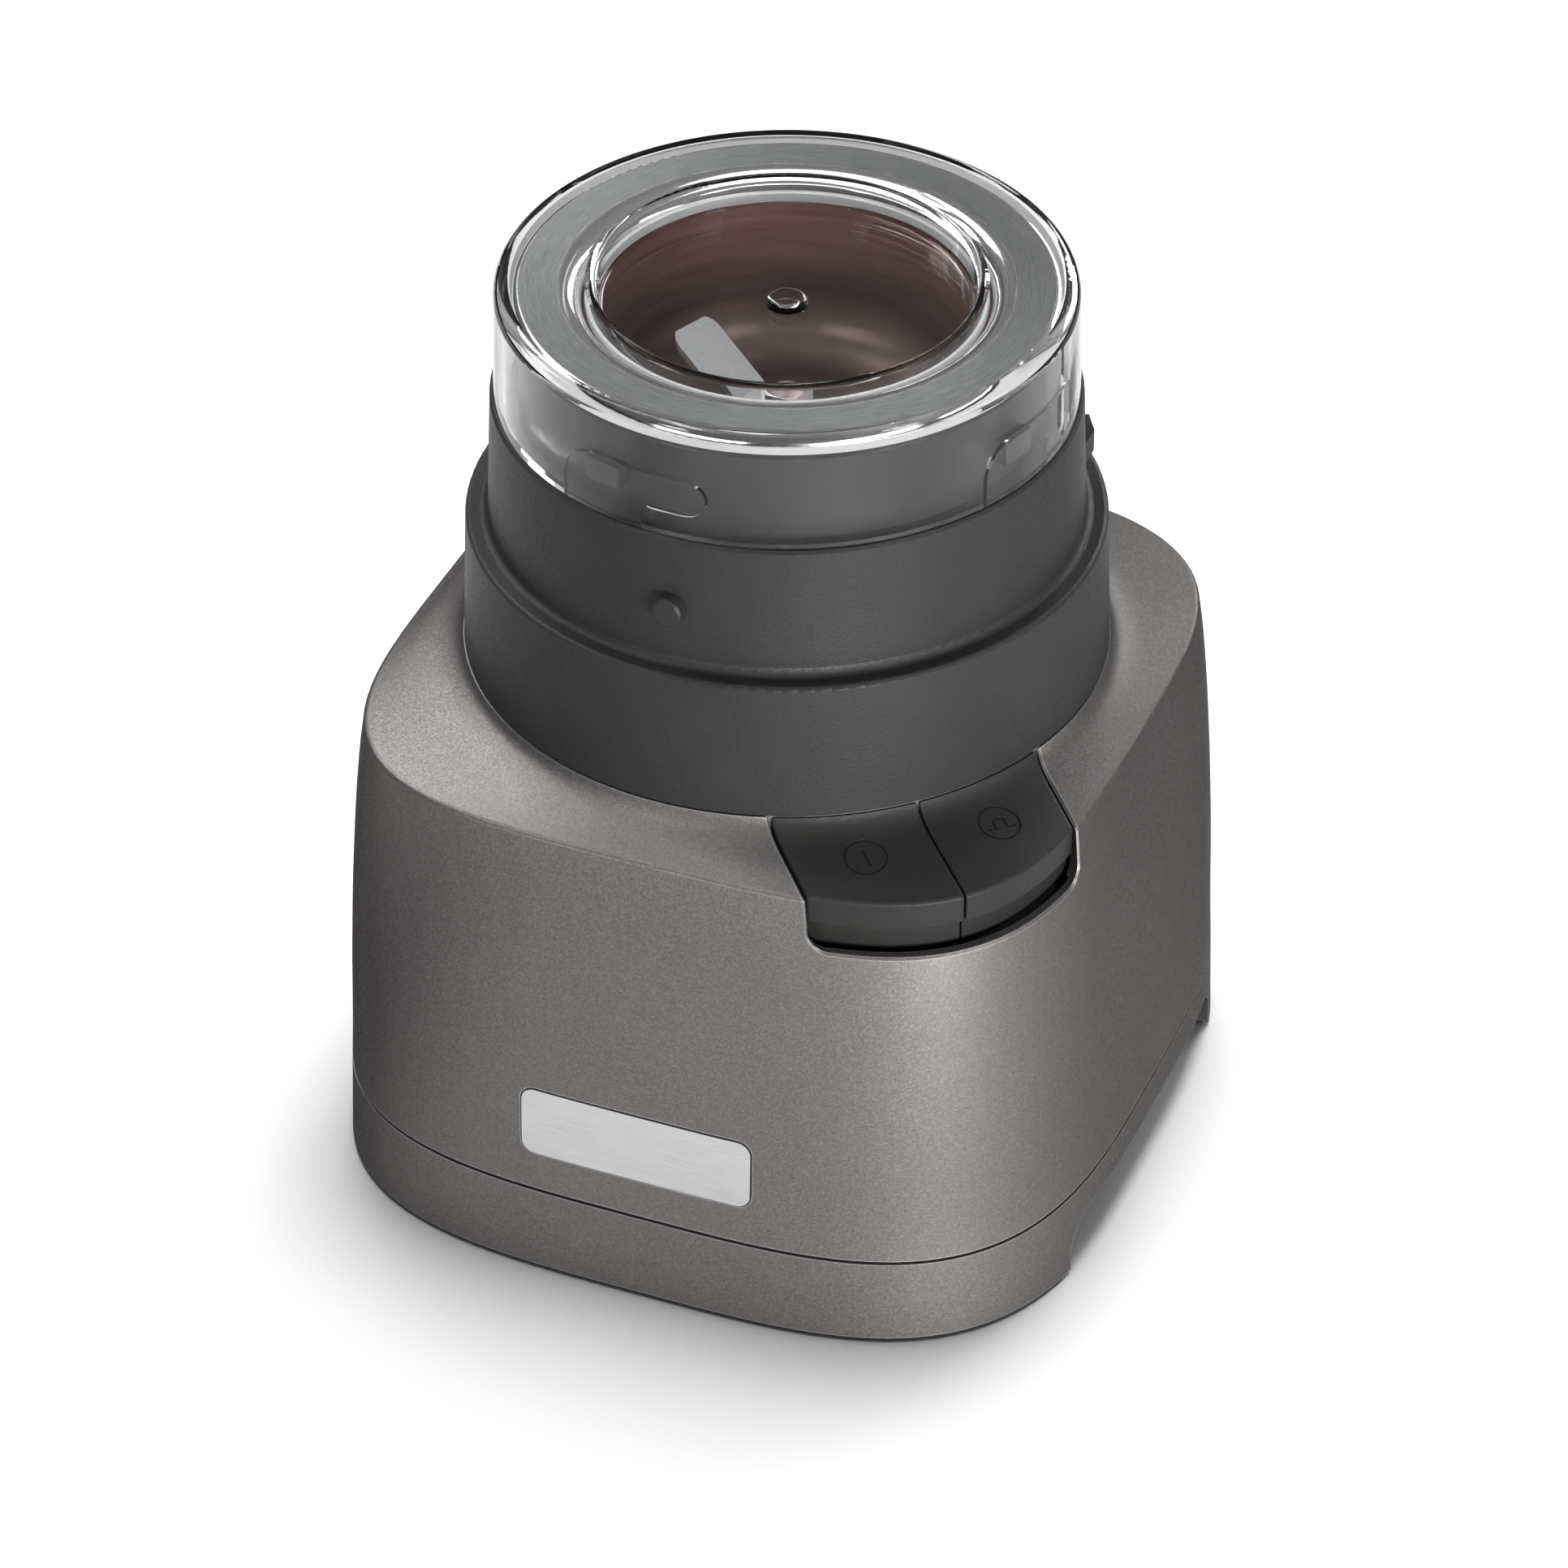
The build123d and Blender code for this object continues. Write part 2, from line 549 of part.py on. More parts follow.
with BuildPart() as seat_cap:
    tube(12.0, 56.8, 129.0, SEAT_TOP)
    for a in PRONG_ANGLES:
        arc_block(a - MILL_TWIST - 6, a + 6, PRONG_R0 - 0.7, PRONG_R1 + 0.7, 127, 134, mode=Mode.SUBTRACT)
    # raised collar round the shaft seal
    tube(12.0, 15.0, SEAT_TOP - 0.5, SEAT_TOP + 2.4)
seat_cap.part.label = "seat_cap"
export_step(seat_cap.part, "parts/seat_cap.step")

with BuildPart() as shaft_seal:
    revolved([(4.3, 129.0), (11.95, 129.0), (11.95, 132.0), (7.0, 132.0), (4.3, 131.0)])
shaft_seal.part.label = "shaft_seal"
export_step(shaft_seal.part, "parts/shaft_seal.step")

with BuildPart() as interlock_ring:
    tube(RING_IN, RING_OUT, RING_Z0, RING_Z1)
    for a in PRONG_ANGLES:
        arc_block(a - 4.8, a + 4.8, PRONG_R0 - 0.5, PRONG_R1 + 0.5, RING_Z0 - 1, RING_Z1 + 1, mode=Mode.SUBTRACT)
    tube(0, 2.0, RING_Z0 - 0.5, RING_Z0 + 2.5, mode=Mode.SUBTRACT, at=[(0, 48.0)])
interlock_ring.part.label = "interlock_ring"
export_step(interlock_ring.part, "parts/interlock_ring.step")

with BuildPart() as ring_magnet:
    tube(0, 1.95, RING_Z0 + 0.05, RING_Z0 + 2.4, at=[(0, 48.0)])
ring_magnet.part.label = "ring_magnet"
export_step(ring_magnet.part, "parts/ring_magnet.step")

with BuildPart() as reed_switch:
    with Locations((16.0, 44.5, 107.6)):
        Box(14.0, 7.0, 9.0, align=MINZ)
reed_switch.part.label = "reed_switch"
export_step(reed_switch.part, "parts/reed_switch.step")

# ------------------------------------------------------------------ motor, fixed parts
BOLT_SPOTS = [(sx * BOLT_XY, sy * BOLT_XY) for sx in (-1, 1) for sy in (-1, 1)]
with BuildPart() as stator_core:
    with BuildSketch(Plane.XY.offset(STACK_Z0)):
        RectangleRounded(2 * STATOR_HALF, 2 * STATOR_HALF, 8.0)
        Circle(23.0, mode=Mode.SUBTRACT)
        with Locations(*[(sx * 21.0, sy * 22.2) for sx in (-1, 1) for sy in (-1, 1)]):
            Rectangle(8.4, 8.0, mode=Mode.SUBTRACT)
        with Locations(*BOLT_SPOTS):
            Circle(2.2, mode=Mode.SUBTRACT)
    extrude(amount=STACK_Z1 - STACK_Z0)
stator_core.part.label = "stator_core"
export_step(stator_core.part, "parts/stator_core.step")

with BuildPart() as field_coils:
    for sy in (-1, 1):
        with BuildSketch(Plane.XZ.offset(-sy * 22.2 + 3.6)):
            with Locations((0, 59.0)):
                RectangleRounded(49.6, 46.0, 4.0)
                RectangleRounded(34.4, 34.6, 1.0, mode=Mode.SUBTRACT)
        extrude(amount=-7.2)
field_coils.part.label = "field_coils"
export_step(field_coils.part, "parts/field_coils.step")

with BuildPart() as lower_bracket:
    with BuildSketch(Plane.XY.offset(21.0)):
        for a in (45, 135):
            with Locations(Location((0, 0, 0), (0, 0, a))):
                Rectangle(92.0, 10.0)
    extrude(amount=4.0)
    tube(0, 14.0, 17.8, 26.0)
    tube(0, 4.6, 24.0, STACK_Z0, at=BOLT_SPOTS)
    tube(0, BEARING_R, 19.0, 27.0, mode=Mode.SUBTRACT)
    tube(0, 2.2, 17.0, STACK_Z0 + 1, mode=Mode.SUBTRACT, at=BOLT_SPOTS)
lower_bracket.part.label = "lower_bracket"
export_step(lower_bracket.part, "parts/lower_bracket.step")

with BuildPart() as upper_bracket:
    with BuildSketch(Plane.XY.offset(92.4)):
        for a in (45, 135):
            with Locations(Location((0, 0, 0), (0, 0, a))):
                Rectangle(92.0, 10.0)
        for a in (0, 90):
            with Locations(Location((0, 0, 0), (0, 0, a))):
                Rectangle(2 * MOUNT_R + 12, 12.0)
    extrude(amount=3.6)
    tube(0, 14.0, 92.4, 100.6)
    tube(0, 4.6, STACK_Z1, 93.0, at=BOLT_SPOTS)
    tube(0, BEARING_R, 93.0, 102.0, mode=Mode.SUBTRACT)
    tube(0, 6.0, 90.0, 102.0, mode=Mode.SUBTRACT)
    tube(0, 2.3, 90.0, 97.0, mode=Mode.SUBTRACT, at=MOUNT_SPOTS)
    tube(0, 2.2, STACK_Z1 - 1, 97.0, mode=Mode.SUBTRACT, at=BOLT_SPOTS)
upper_bracket.part.label = "upper_bracket"
export_step(upper_bracket.part, "parts/upper_bracket.step")

with BuildPart() as lower_bearing:
    tube(SHAFT_R + 0.05, BEARING_R, 19.0, 26.0)
lower_bearing.part.label = "lower_bearing"
export_step(lower_bearing.part, "parts/lower_bearing.step")

with BuildPart() as upper_bearing:
    tube(SHAFT_R + 0.05, BEARING_R, 93.0, 100.0)
upper_bearing.part.label = "upper_bearing"
export_step(upper_bearing.part, "parts/upper_bearing.step")

with BuildPart() as brush_plate:
    with BuildSketch(Plane.XY.offset(26.2)):
        Circle(31.8)
        Circle(16.0, mode=Mode.SUBTRACT)
    extrude(amount=2.0)
brush_plate.part.label = "brush_plate"
export_step(brush_plate.part, "parts/brush_plate.step")

with BuildPart() as brush_holders:
    for s in (-1, 1):
        with Locations((s * 23.0, 0, 28.2)):
            Box(16.0, 9.6, 8.8, align=MINZ)
        with Locations((s * 21.0, 0, 29.4)):
            Box(16.0, 6.8, 6.4, align=MINZ, mode=Mode.SUBTRACT)
brush_holders.part.label = "brush_holders"
export_step(brush_holders.part, "parts/brush_holders.step")

with BuildPart() as carbon_brushes:
    for s in (-1, 1):
        with Locations((s * 19.0, 0, 29.6)):
            Box(14.5, 6.4, 6.0, align=MINZ)
    tube(0, 12.3, 20, 50, mode=Mode.SUBTRACT)
carbon_brushes.part.label = "carbon_brushes"
export_step(carbon_brushes.part, "parts/carbon_brushes.step")

with BuildPart() as motor_bolts:
    tube(0, 4.0, 18.0, 21.0, at=BOLT_SPOTS)
    tube(0, 2.1, 21.0, 96.0, at=BOLT_SPOTS)
    tube(2.1, 3.6, 96.05, 99.0, at=BOLT_SPOTS)
    tube(0, 2.1, 95.0, 100.0, at=BOLT_SPOTS)
motor_bolts.part.label = "motor_bolts"
export_step(motor_bolts.part, "parts/motor_bolts.step")

with BuildPart() as motor_mounts:
    tube(2.3, 6.5, 96.05, 100.15, at=MOUNT_SPOTS)
motor_mounts.part.label = "motor_mounts"
export_step(motor_mounts.part, "parts/motor_mounts.step")

with BuildPart() as mount_screws:
    tube(0, 4.0, 89.4, 92.35, at=MOUNT_SPOTS)
    tube(0, 2.0, 92.0, 108.5, at=MOUNT_SPOTS)
mount_screws.part.label = "mount_screws"
export_step(mount_screws.part, "parts/mount_screws.step")

# ------------------------------------------------------------------ motor, turning parts
with BuildPart() as motor_shaft:
    tube(0, SHAFT_R, 19.2, 136.0)
motor_shaft.part.label = "motor_shaft"
export_step(motor_shaft.part, "parts/motor_shaft.step")

with BuildPart() as rotor_core:
    tube(SHAFT_R, ROTOR_R, STACK_Z0, STACK_Z1)
    with BuildSketch(Plane.XY.offset(STACK_Z0 - 1)):
        with PolarLocations(18.6, 12):
            SlotOverall(7.0, 3.2)
        with PolarLocations(22.0, 12):
            Rectangle(3.0, 1.3)
    extrude(amount=40, mode=Mode.SUBTRACT)
rotor_core.part.label = "rotor_core"
export_step(rotor_core.part, "parts/rotor_core.step")

with BuildPart() as rotor_windings:
    revolved([(7.0, 37.6), (15.5, 37.6), (18.2, 39.6), (18.2, 41.95), (7.0, 41.95)])
    revolved([(7.0, 76.05), (18.2, 76.05), (18.2, 78.4), (15.5, 80.5), (7.0, 80.5)])
rotor_windings.part.label = "rotor_windings"
export_step(rotor_windings.part, "parts/rotor_windings.step")

with BuildPart() as commutator:
    tube(SHAFT_R, 12.0, 27.4, 37.0)
    with BuildSketch(Plane.XY.offset(27.0)):
        with PolarLocations(11.6, 24):
            Rectangle(1.6, 0.5)
    extrude(amount=12, mode=Mode.SUBTRACT)
commutator.part.label = "commutator"
export_step(commutator.part, "parts/commutator.step")

with BuildPart() as cooling_fan:
    tube(SHAFT_R, 26.0, 83.6, 85.0)
    tube(SHAFT_R, 8.0, 84.0, 91.0)
    with BuildSketch(Plane.XY.offset(84.6)):
        with PolarLocations(16.5, 9):
            Rectangle(18.6, 1.3)
    extrude(amount=6.4)
cooling_fan.part.label = "cooling_fan"
export_step(cooling_fan.part, "parts/cooling_fan.step")

with BuildPart() as drive_dog:
    tube(SHAFT_R, 11.0, 132.9, 136.0)
    tube(0, 11.0, 136.0, 137.2)
    for a in (0, 180):
        arc_block(a - 25, a + 25, 5.0, 11.0, 137.0, 141.3)
drive_dog.part.label = "drive_dog"
export_step(drive_dog.part, "parts/drive_dog.step")

# ------------------------------------------------------------------ mill
with BuildPart() as mill_housing:
    with BuildSketch(Plane.XZ):
        with BuildLine():
            Polyline((COLLAR_IN, COLLAR_Z0), (COLLAR_R0, COLLAR_Z0), (COLLAR_R1, COLLAR_Z1 - 1.0))
            ThreePointArc((COLLAR_R1, COLLAR_Z1 - 1.0), (COLLAR_R1 - 0.293, COLLAR_Z1 - 0.293), (COLLAR_R1 - 1.0, COLLAR_Z1))
            Line((COLLAR_R1 - 1.0, COLLAR_Z1), (BODY_R0 + 1.7, COLLAR_Z1))
            ThreePointArc((BODY_R0 + 1.7, COLLAR_Z1), (BODY_R0 + 0.498, COLLAR_Z1 + 0.498), (BODY_R0, COLLAR_Z1 + 1.7))
            Line((BODY_R0, COLLAR_Z1 + 1.7), (BODY_R1 + 0.05, SHOULDER_Z - 0.6))
            Polyline((BODY_R1 + 0.05, SHOULDER_Z - 0.6), (BODY_R1 - 0.5, SHOULDER_Z), (NECK_R, SHOULDER_Z),
                     (NECK_R, 193.6), (53.9, 194.4), (53.9, NECK_TOP), (50.8, NECK_TOP), (50.8, 172.2),
                     (57.2, 171.2), (58.2, 150.0), (58.2, 143.8), (COLLAR_IN, 142.6), (COLLAR_IN, COLLAR_Z0))
        make_face()
    revolve(axis=Axis.Z)
    # bosses of the base cover
    tube(0, 5.6, 148.6, 171.8, at=[(53.4 * cos(radians(a)), 53.4 * sin(radians(a))) for a in (60, 180, 300)])
    tube(0, 1.35, 148.0, 166.0, mode=Mode.SUBTRACT, at=[(52.5 * cos(radians(a)), 52.5 * sin(radians(a))) for a in (60, 180, 300)])
    # inner bayonet lugs, beside the lugs of the seat until the mill is twisted home
    for a in LUG_ANGLES:
        arc_block(a + MILL_TWIST - 7, a + MILL_TWIST + 7, 59.3, COLLAR_IN + 0.6, 117.6, 122.0)
    # lid lugs on the neck
    for k in range(4):
        arc_block(LID_LUG[0] + 90 * k, LID_LUG[1] + 90 * k, NECK_R - 0.8, 57.9, *LID_LUG_Z)
    # ramped catches on the wall at the back
    for a in LUG_ANGLES[1:]:
        ramp = [(59.0, -7.0), (60.7, -7.0), (CATCH_OUT, -1.8), (CATCH_OUT, 3.6), (59.0, 3.6)]
        with BuildSketch(Plane.XY.offset(CATCH_Z0)) as catch:
            with BuildLine():
                Polyline(*[(r * cos(radians(a + b)), r * sin(radians(a + b))) for r, b in ramp], close=True)
            make_face()
        extrude(catch.sketch, amount=CATCH_Z1 - CATCH_Z0, dir=UP)
    # round peg at the front
    with BuildSketch(Plane.XZ.offset(59.4)):
        with Locations((0, PEG_Z)):
            Circle(PEG_R)
    extrude(amount=PEG_OUT - 59.4)
    ends = mill_housing.edges().filter_by(GeomType.CIRCLE).filter_by(lambda e: abs(e.radius - PEG_R) < 0.01)
    chamfer(ends, length=0.5)
mill_housing.part.label = "mill_housing"
export_step(mill_housing.part, "parts/mill_housing.step")

with BuildPart() as grinding_bowl:
    with BuildSketch(Plane.XZ):
        with BuildLine():
            k = sqrt(0.5)
            Line((5.5, 160.0), (5.5, BOWL_FLOOR))
            Line((5.5, BOWL_FLOOR), (26.0, BOWL_FLOOR))
            ThreePointArc((26.0, BOWL_FLOOR), (26.0 + 12.8 * k, 173.6 - 12.8 * k), (38.8, 173.6))
            Line((38.8, 173.6), (41.0, 193.8))
            ThreePointArc((41.0, 193.8), (45.5 - 4.5 * k, 193.8 + 4.5 * k), (45.5, FLANGE_Z))
            Line((45.5, FLANGE_Z), (FLANGE_R - 1.2, FLANGE_Z))
            ThreePointArc((FLANGE_R - 1.2, FLANGE_Z), (FLANGE_R - 1.2 + 1.2 * k, FLANGE_Z - 1.2 + 1.2 * k), (FLANGE_R, FLANGE_Z - 1.2))
            Polyline((FLANGE_R, FLANGE_Z - 1.2), (FLANGE_R, 195.0), (FLANGE_R - 0.8, 195.0), (FLANGE_R - 0.8, 197.0),
                     (FLANGE_R - 1.3, FLANGE_Z - BOWL_T), (45.5, FLANGE_Z - BOWL_T))
            ThreePointArc((45.5, FLANGE_Z - BOWL_T), (45.5 - 3.7 * k, 193.8 + 3.7 * k), (41.8, 193.8))
            Line((41.8, 193.8), (39.6, 173.6))
            ThreePointArc((39.6, 173.6), (26.0 + 13.6 * k, 173.6 - 13.6 * k), (26.0, 160.0))
            Line((26.0, 160.0), (5.5, 160.0))
        make_face()
    revolve(axis=Axis.Z)
grinding_bowl.part.label = "grinding_bowl"
export_step(grinding_bowl.part, "parts/grinding_bowl.step")

with BuildPart() as bowl_gasket:
    tube(51.2, 53.5, NECK_TOP + 0.02, FLANGE_Z - BOWL_T - 0.02)
bowl_gasket.part.label = "bowl_gasket"
export_step(bowl_gasket.part, "parts/bowl_gasket.step")

COVER_SPOTS = [(52.5 * cos(radians(a)), 52.5 * sin(radians(a))) for a in (60, 180, 300)]
with BuildPart() as mill_base_cover:
    tube(7.0, 57.8, 145.5, 148.5)
    tube(7.0, 10.5, 145.5, 158.8)
    for a in PRONG_ANGLES:
        arc_block(a - 4, a + 4, PRONG_R0, PRONG_R1, 123.4, 146.0)
    tube(0, 1.7, 144, 150, mode=Mode.SUBTRACT, at=COVER_SPOTS)
mill_base_cover.part.label = "mill_base_cover"
export_step(mill_base_cover.part, "parts/mill_base_cover.step")

with BuildPart() as cover_screws:
    tube(0, 3.0, 143.2, 145.45, at=COVER_SPOTS)
    tube(0, 1.3, 145.0, 160.0, at=COVER_SPOTS)
cover_screws.part.label = "cover_screws"
export_step(cover_screws.part, "parts/cover_screws.step")

with BuildPart() as spindle_bush:
    tube(SHAFT_R + 0.05, 7.0, 146.0, 158.8)
spindle_bush.part.label = "spindle_bush"
export_step(spindle_bush.part, "parts/spindle_bush.step")

with BuildPart() as spindle_seal:
    revolved([(4.3, 158.9), (9.0, 158.9), (9.0, 159.95), (5.45, 159.95), (5.45, 161.8), (4.3, 162.4)])
spindle_seal.part.label = "spindle_seal"
export_step(spindle_seal.part, "parts/spindle_seal.step")

# ------------------------------------------------------------------ mill, turning parts
with BuildPart() as spindle:
    tube(0, SHAFT_R, 142.4, 163.2)
    tube(0, 2.5, 163.0, 170.6)
spindle.part.label = "spindle"
export_step(spindle.part, "parts/spindle.step")

with BuildPart() as driven_dog:
    tube(SHAFT_R, 11.0, 142.4, 145.2)
    tube(0, 11.0, 141.6, 142.4)
    for a in (90, 270):
        arc_block(a - 25, a + 25, 5.0, 11.0, 137.6, 141.8)
driven_dog.part.label = "driven_dog"
export_step(driven_dog.part, "parts/driven_dog.step")

with BuildPart() as blade:
    # bent strip: one wing raised, the other flatter
    with BuildSketch(radial_plane(BLADE_AZ)):
        with BuildLine():
            Polyline((-31.0, 169.5), (-10.0, 163.2), (10.0, 163.2), (28.9, 174.4), (28.1, 175.7),
                     (9.5, 164.7), (-9.8, 164.7), (-30.6, 170.9), close=True)
        make_face()
    extrude(amount=7.0, both=True)
    with BuildSketch(Plane.XY.offset(150)):
        with Locations(Location((0, 0, 0), (0, 0, BLADE_AZ))):
            with Locations((-1.1, 0)):
                RectangleRounded(59.6, 11.4, 3.6)
    extrude(amount=40, mode=Mode.INTERSECT)
    tube(0, 2.5, 150, 190, mode=Mode.SUBTRACT)
blade.part.label = "blade"
export_step(blade.part, "parts/blade.step")

with BuildPart() as blade_nut:
    with BuildSketch(Plane.XY.offset(164.72)):
        RegularPolygon(5.8, 6)
        Circle(2.5, mode=Mode.SUBTRACT)
    extrude(amount=5.9)
    with BuildSketch(Plane.XZ):
        with BuildLine():
            Polyline((0, 170.62), (4.9, 170.62), (3.9, 172.2), (1.8, 173.0), (0, 173.2), close=True)
        make_face()
    revolve(axis=Axis.Z)
blade_nut.part.label = "blade_nut"
export_step(blade_nut.part, "parts/blade_nut.step")

# ------------------------------------------------------------------ lid
# One bayonet recess, drawn flat across its middle: round at the entry, fully round at the closed end
SLOT_MID = (SLOT_A0 + SLOT_AC) / 2
with BuildPart() as slot_tool:
    ul, ue, ur = [57.4 * sin(radians(a - SLOT_MID)) for a in (SLOT_A0, SLOT_A1, SLOT_AC)]
    k, rr, re, low = sqrt(0.5), SLOT_ROUND, (SLOT_Z1 - SLOT_Z0) / 2, LID_Z0 - 1
    ca, sa = cos(radians(SLOT_MID)), sin(radians(SLOT_MID))
    with BuildSketch(Plane(origin=(40 * ca, 40 * sa, 0), x_dir=(-sa, ca, 0), z_dir=(ca, sa, 0))):
        with BuildLine():
            Line((ul, low), (ul, SLOT_Z1 - rr))
            ThreePointArc((ul, SLOT_Z1 - rr), (ul + rr * (1 - k), SLOT_Z1 - rr * (1 - k)), (ul + rr, SLOT_Z1))
            Line((ul + rr, SLOT_Z1), (ur - re, SLOT_Z1))
            ThreePointArc((ur - re, SLOT_Z1), (ur, SLOT_Z0 + re), (ur - re, SLOT_Z0))
            Line((ur - re, SLOT_Z0), (ue + 1.6, SLOT_Z0))
            ThreePointArc((ue + 1.6, SLOT_Z0), (ue + 1.6 * (1 - k), SLOT_Z0 - 1.6 * (1 - k)), (ue, SLOT_Z0 - 1.6))
            Polyline((ue, SLOT_Z0 - 1.6), (ue, low), (ul, low))
        make_face()
    extrude(amount=30)
    tube(56.6, 58.3, LID_Z0 - 2, SLOT_Z1 + 2, mode=Mode.INTERSECT)

with BuildPart() as lid:
    with BuildSketch(Plane.XZ):
        with BuildLine():
            k = sqrt(0.5)
            Polyline((57.3, LID_Z0), (LID_R0, LID_Z0), (LID_R1, LID_TOP - 3.0))
            ThreePointArc((LID_R1, LID_TOP - 3.0), (LID_R1 - 3 + 3 * k, LID_TOP - 3 + 3 * k), (LID_R1 - 3.0, LID_TOP))
            Line((LID_R1 - 3.0, LID_TOP), (39.7, LID_TOP))
            ThreePointArc((39.7, LID_TOP), (39.7 - 1.5 * k, LID_TOP - 1.5 + 1.5 * k), (38.2, LID_TOP - 1.5))
            Line((38.2, LID_TOP - 1.5), (37.8, 195.6))
            ThreePointArc((37.8, 195.6), (36.6 + 1.2 * k, 195.6 - 1.2 * k), (36.6, 194.4))
            Polyline((36.6, 194.4), (4.2, 194.4), (4.2, 194.7))
            ThreePointArc((4.2, 194.7), (4.2 - 1.4 * (1 - k), 194.7 + 1.4 * k), (2.8, 196.1))
            Polyline((2.8, 196.1), (0, 196.1), (0, 192.2))
            Line((0, 192.2), (38.0, 192.2))
            ThreePointArc((38.0, 192.2), (38.0 + 1.6 * k, 193.8 - 1.6 * k), (39.6, 193.8))
            Polyline((39.6, 193.8), (39.7, 198.4), (40.5, 199.2), (55.5, 199.2), (56.9, 197.8), (57.3, LID_Z0))
        make_face()
    revolve(axis=Axis.Z)
    # bayonet recesses inside the wall: an entry open at the rim and a closed end
    for q in range(4):
        add(slot_tool.part.rotate(Axis.Z, 90 * q), mode=Mode.SUBTRACT)
lid.part.label = "lid"
export_step(lid.part, "parts/lid.step")

with BuildPart() as lid_seal:
    revolved([(39.8, 194.2), (40.5, 194.2), (40.65, 195.2), (40.5, 196.2), (39.8, 196.2)])
lid_seal.part.label = "lid_seal"
export_step(lid_seal.part, "parts/lid_seal.step")
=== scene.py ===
"""Looks of the mini chopper: finishes of every piece, plain pale floor, soft studio light, camera."""

import json
import math

import bpy
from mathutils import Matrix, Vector


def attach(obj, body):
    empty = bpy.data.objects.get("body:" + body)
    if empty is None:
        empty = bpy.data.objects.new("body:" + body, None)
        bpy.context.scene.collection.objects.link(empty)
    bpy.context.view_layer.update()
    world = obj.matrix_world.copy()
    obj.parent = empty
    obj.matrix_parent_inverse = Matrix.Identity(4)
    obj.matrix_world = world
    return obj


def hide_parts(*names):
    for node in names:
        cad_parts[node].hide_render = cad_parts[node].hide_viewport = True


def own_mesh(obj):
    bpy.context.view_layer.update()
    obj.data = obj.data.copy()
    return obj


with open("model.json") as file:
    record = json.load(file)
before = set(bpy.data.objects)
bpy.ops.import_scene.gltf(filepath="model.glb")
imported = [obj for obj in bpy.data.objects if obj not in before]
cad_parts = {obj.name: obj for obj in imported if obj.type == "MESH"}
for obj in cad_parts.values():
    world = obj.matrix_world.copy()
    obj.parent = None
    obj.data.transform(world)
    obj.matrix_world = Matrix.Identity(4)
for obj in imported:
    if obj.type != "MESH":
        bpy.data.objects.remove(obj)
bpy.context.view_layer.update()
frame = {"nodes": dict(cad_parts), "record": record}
NODES = frame["nodes"]
scene = bpy.context.scene


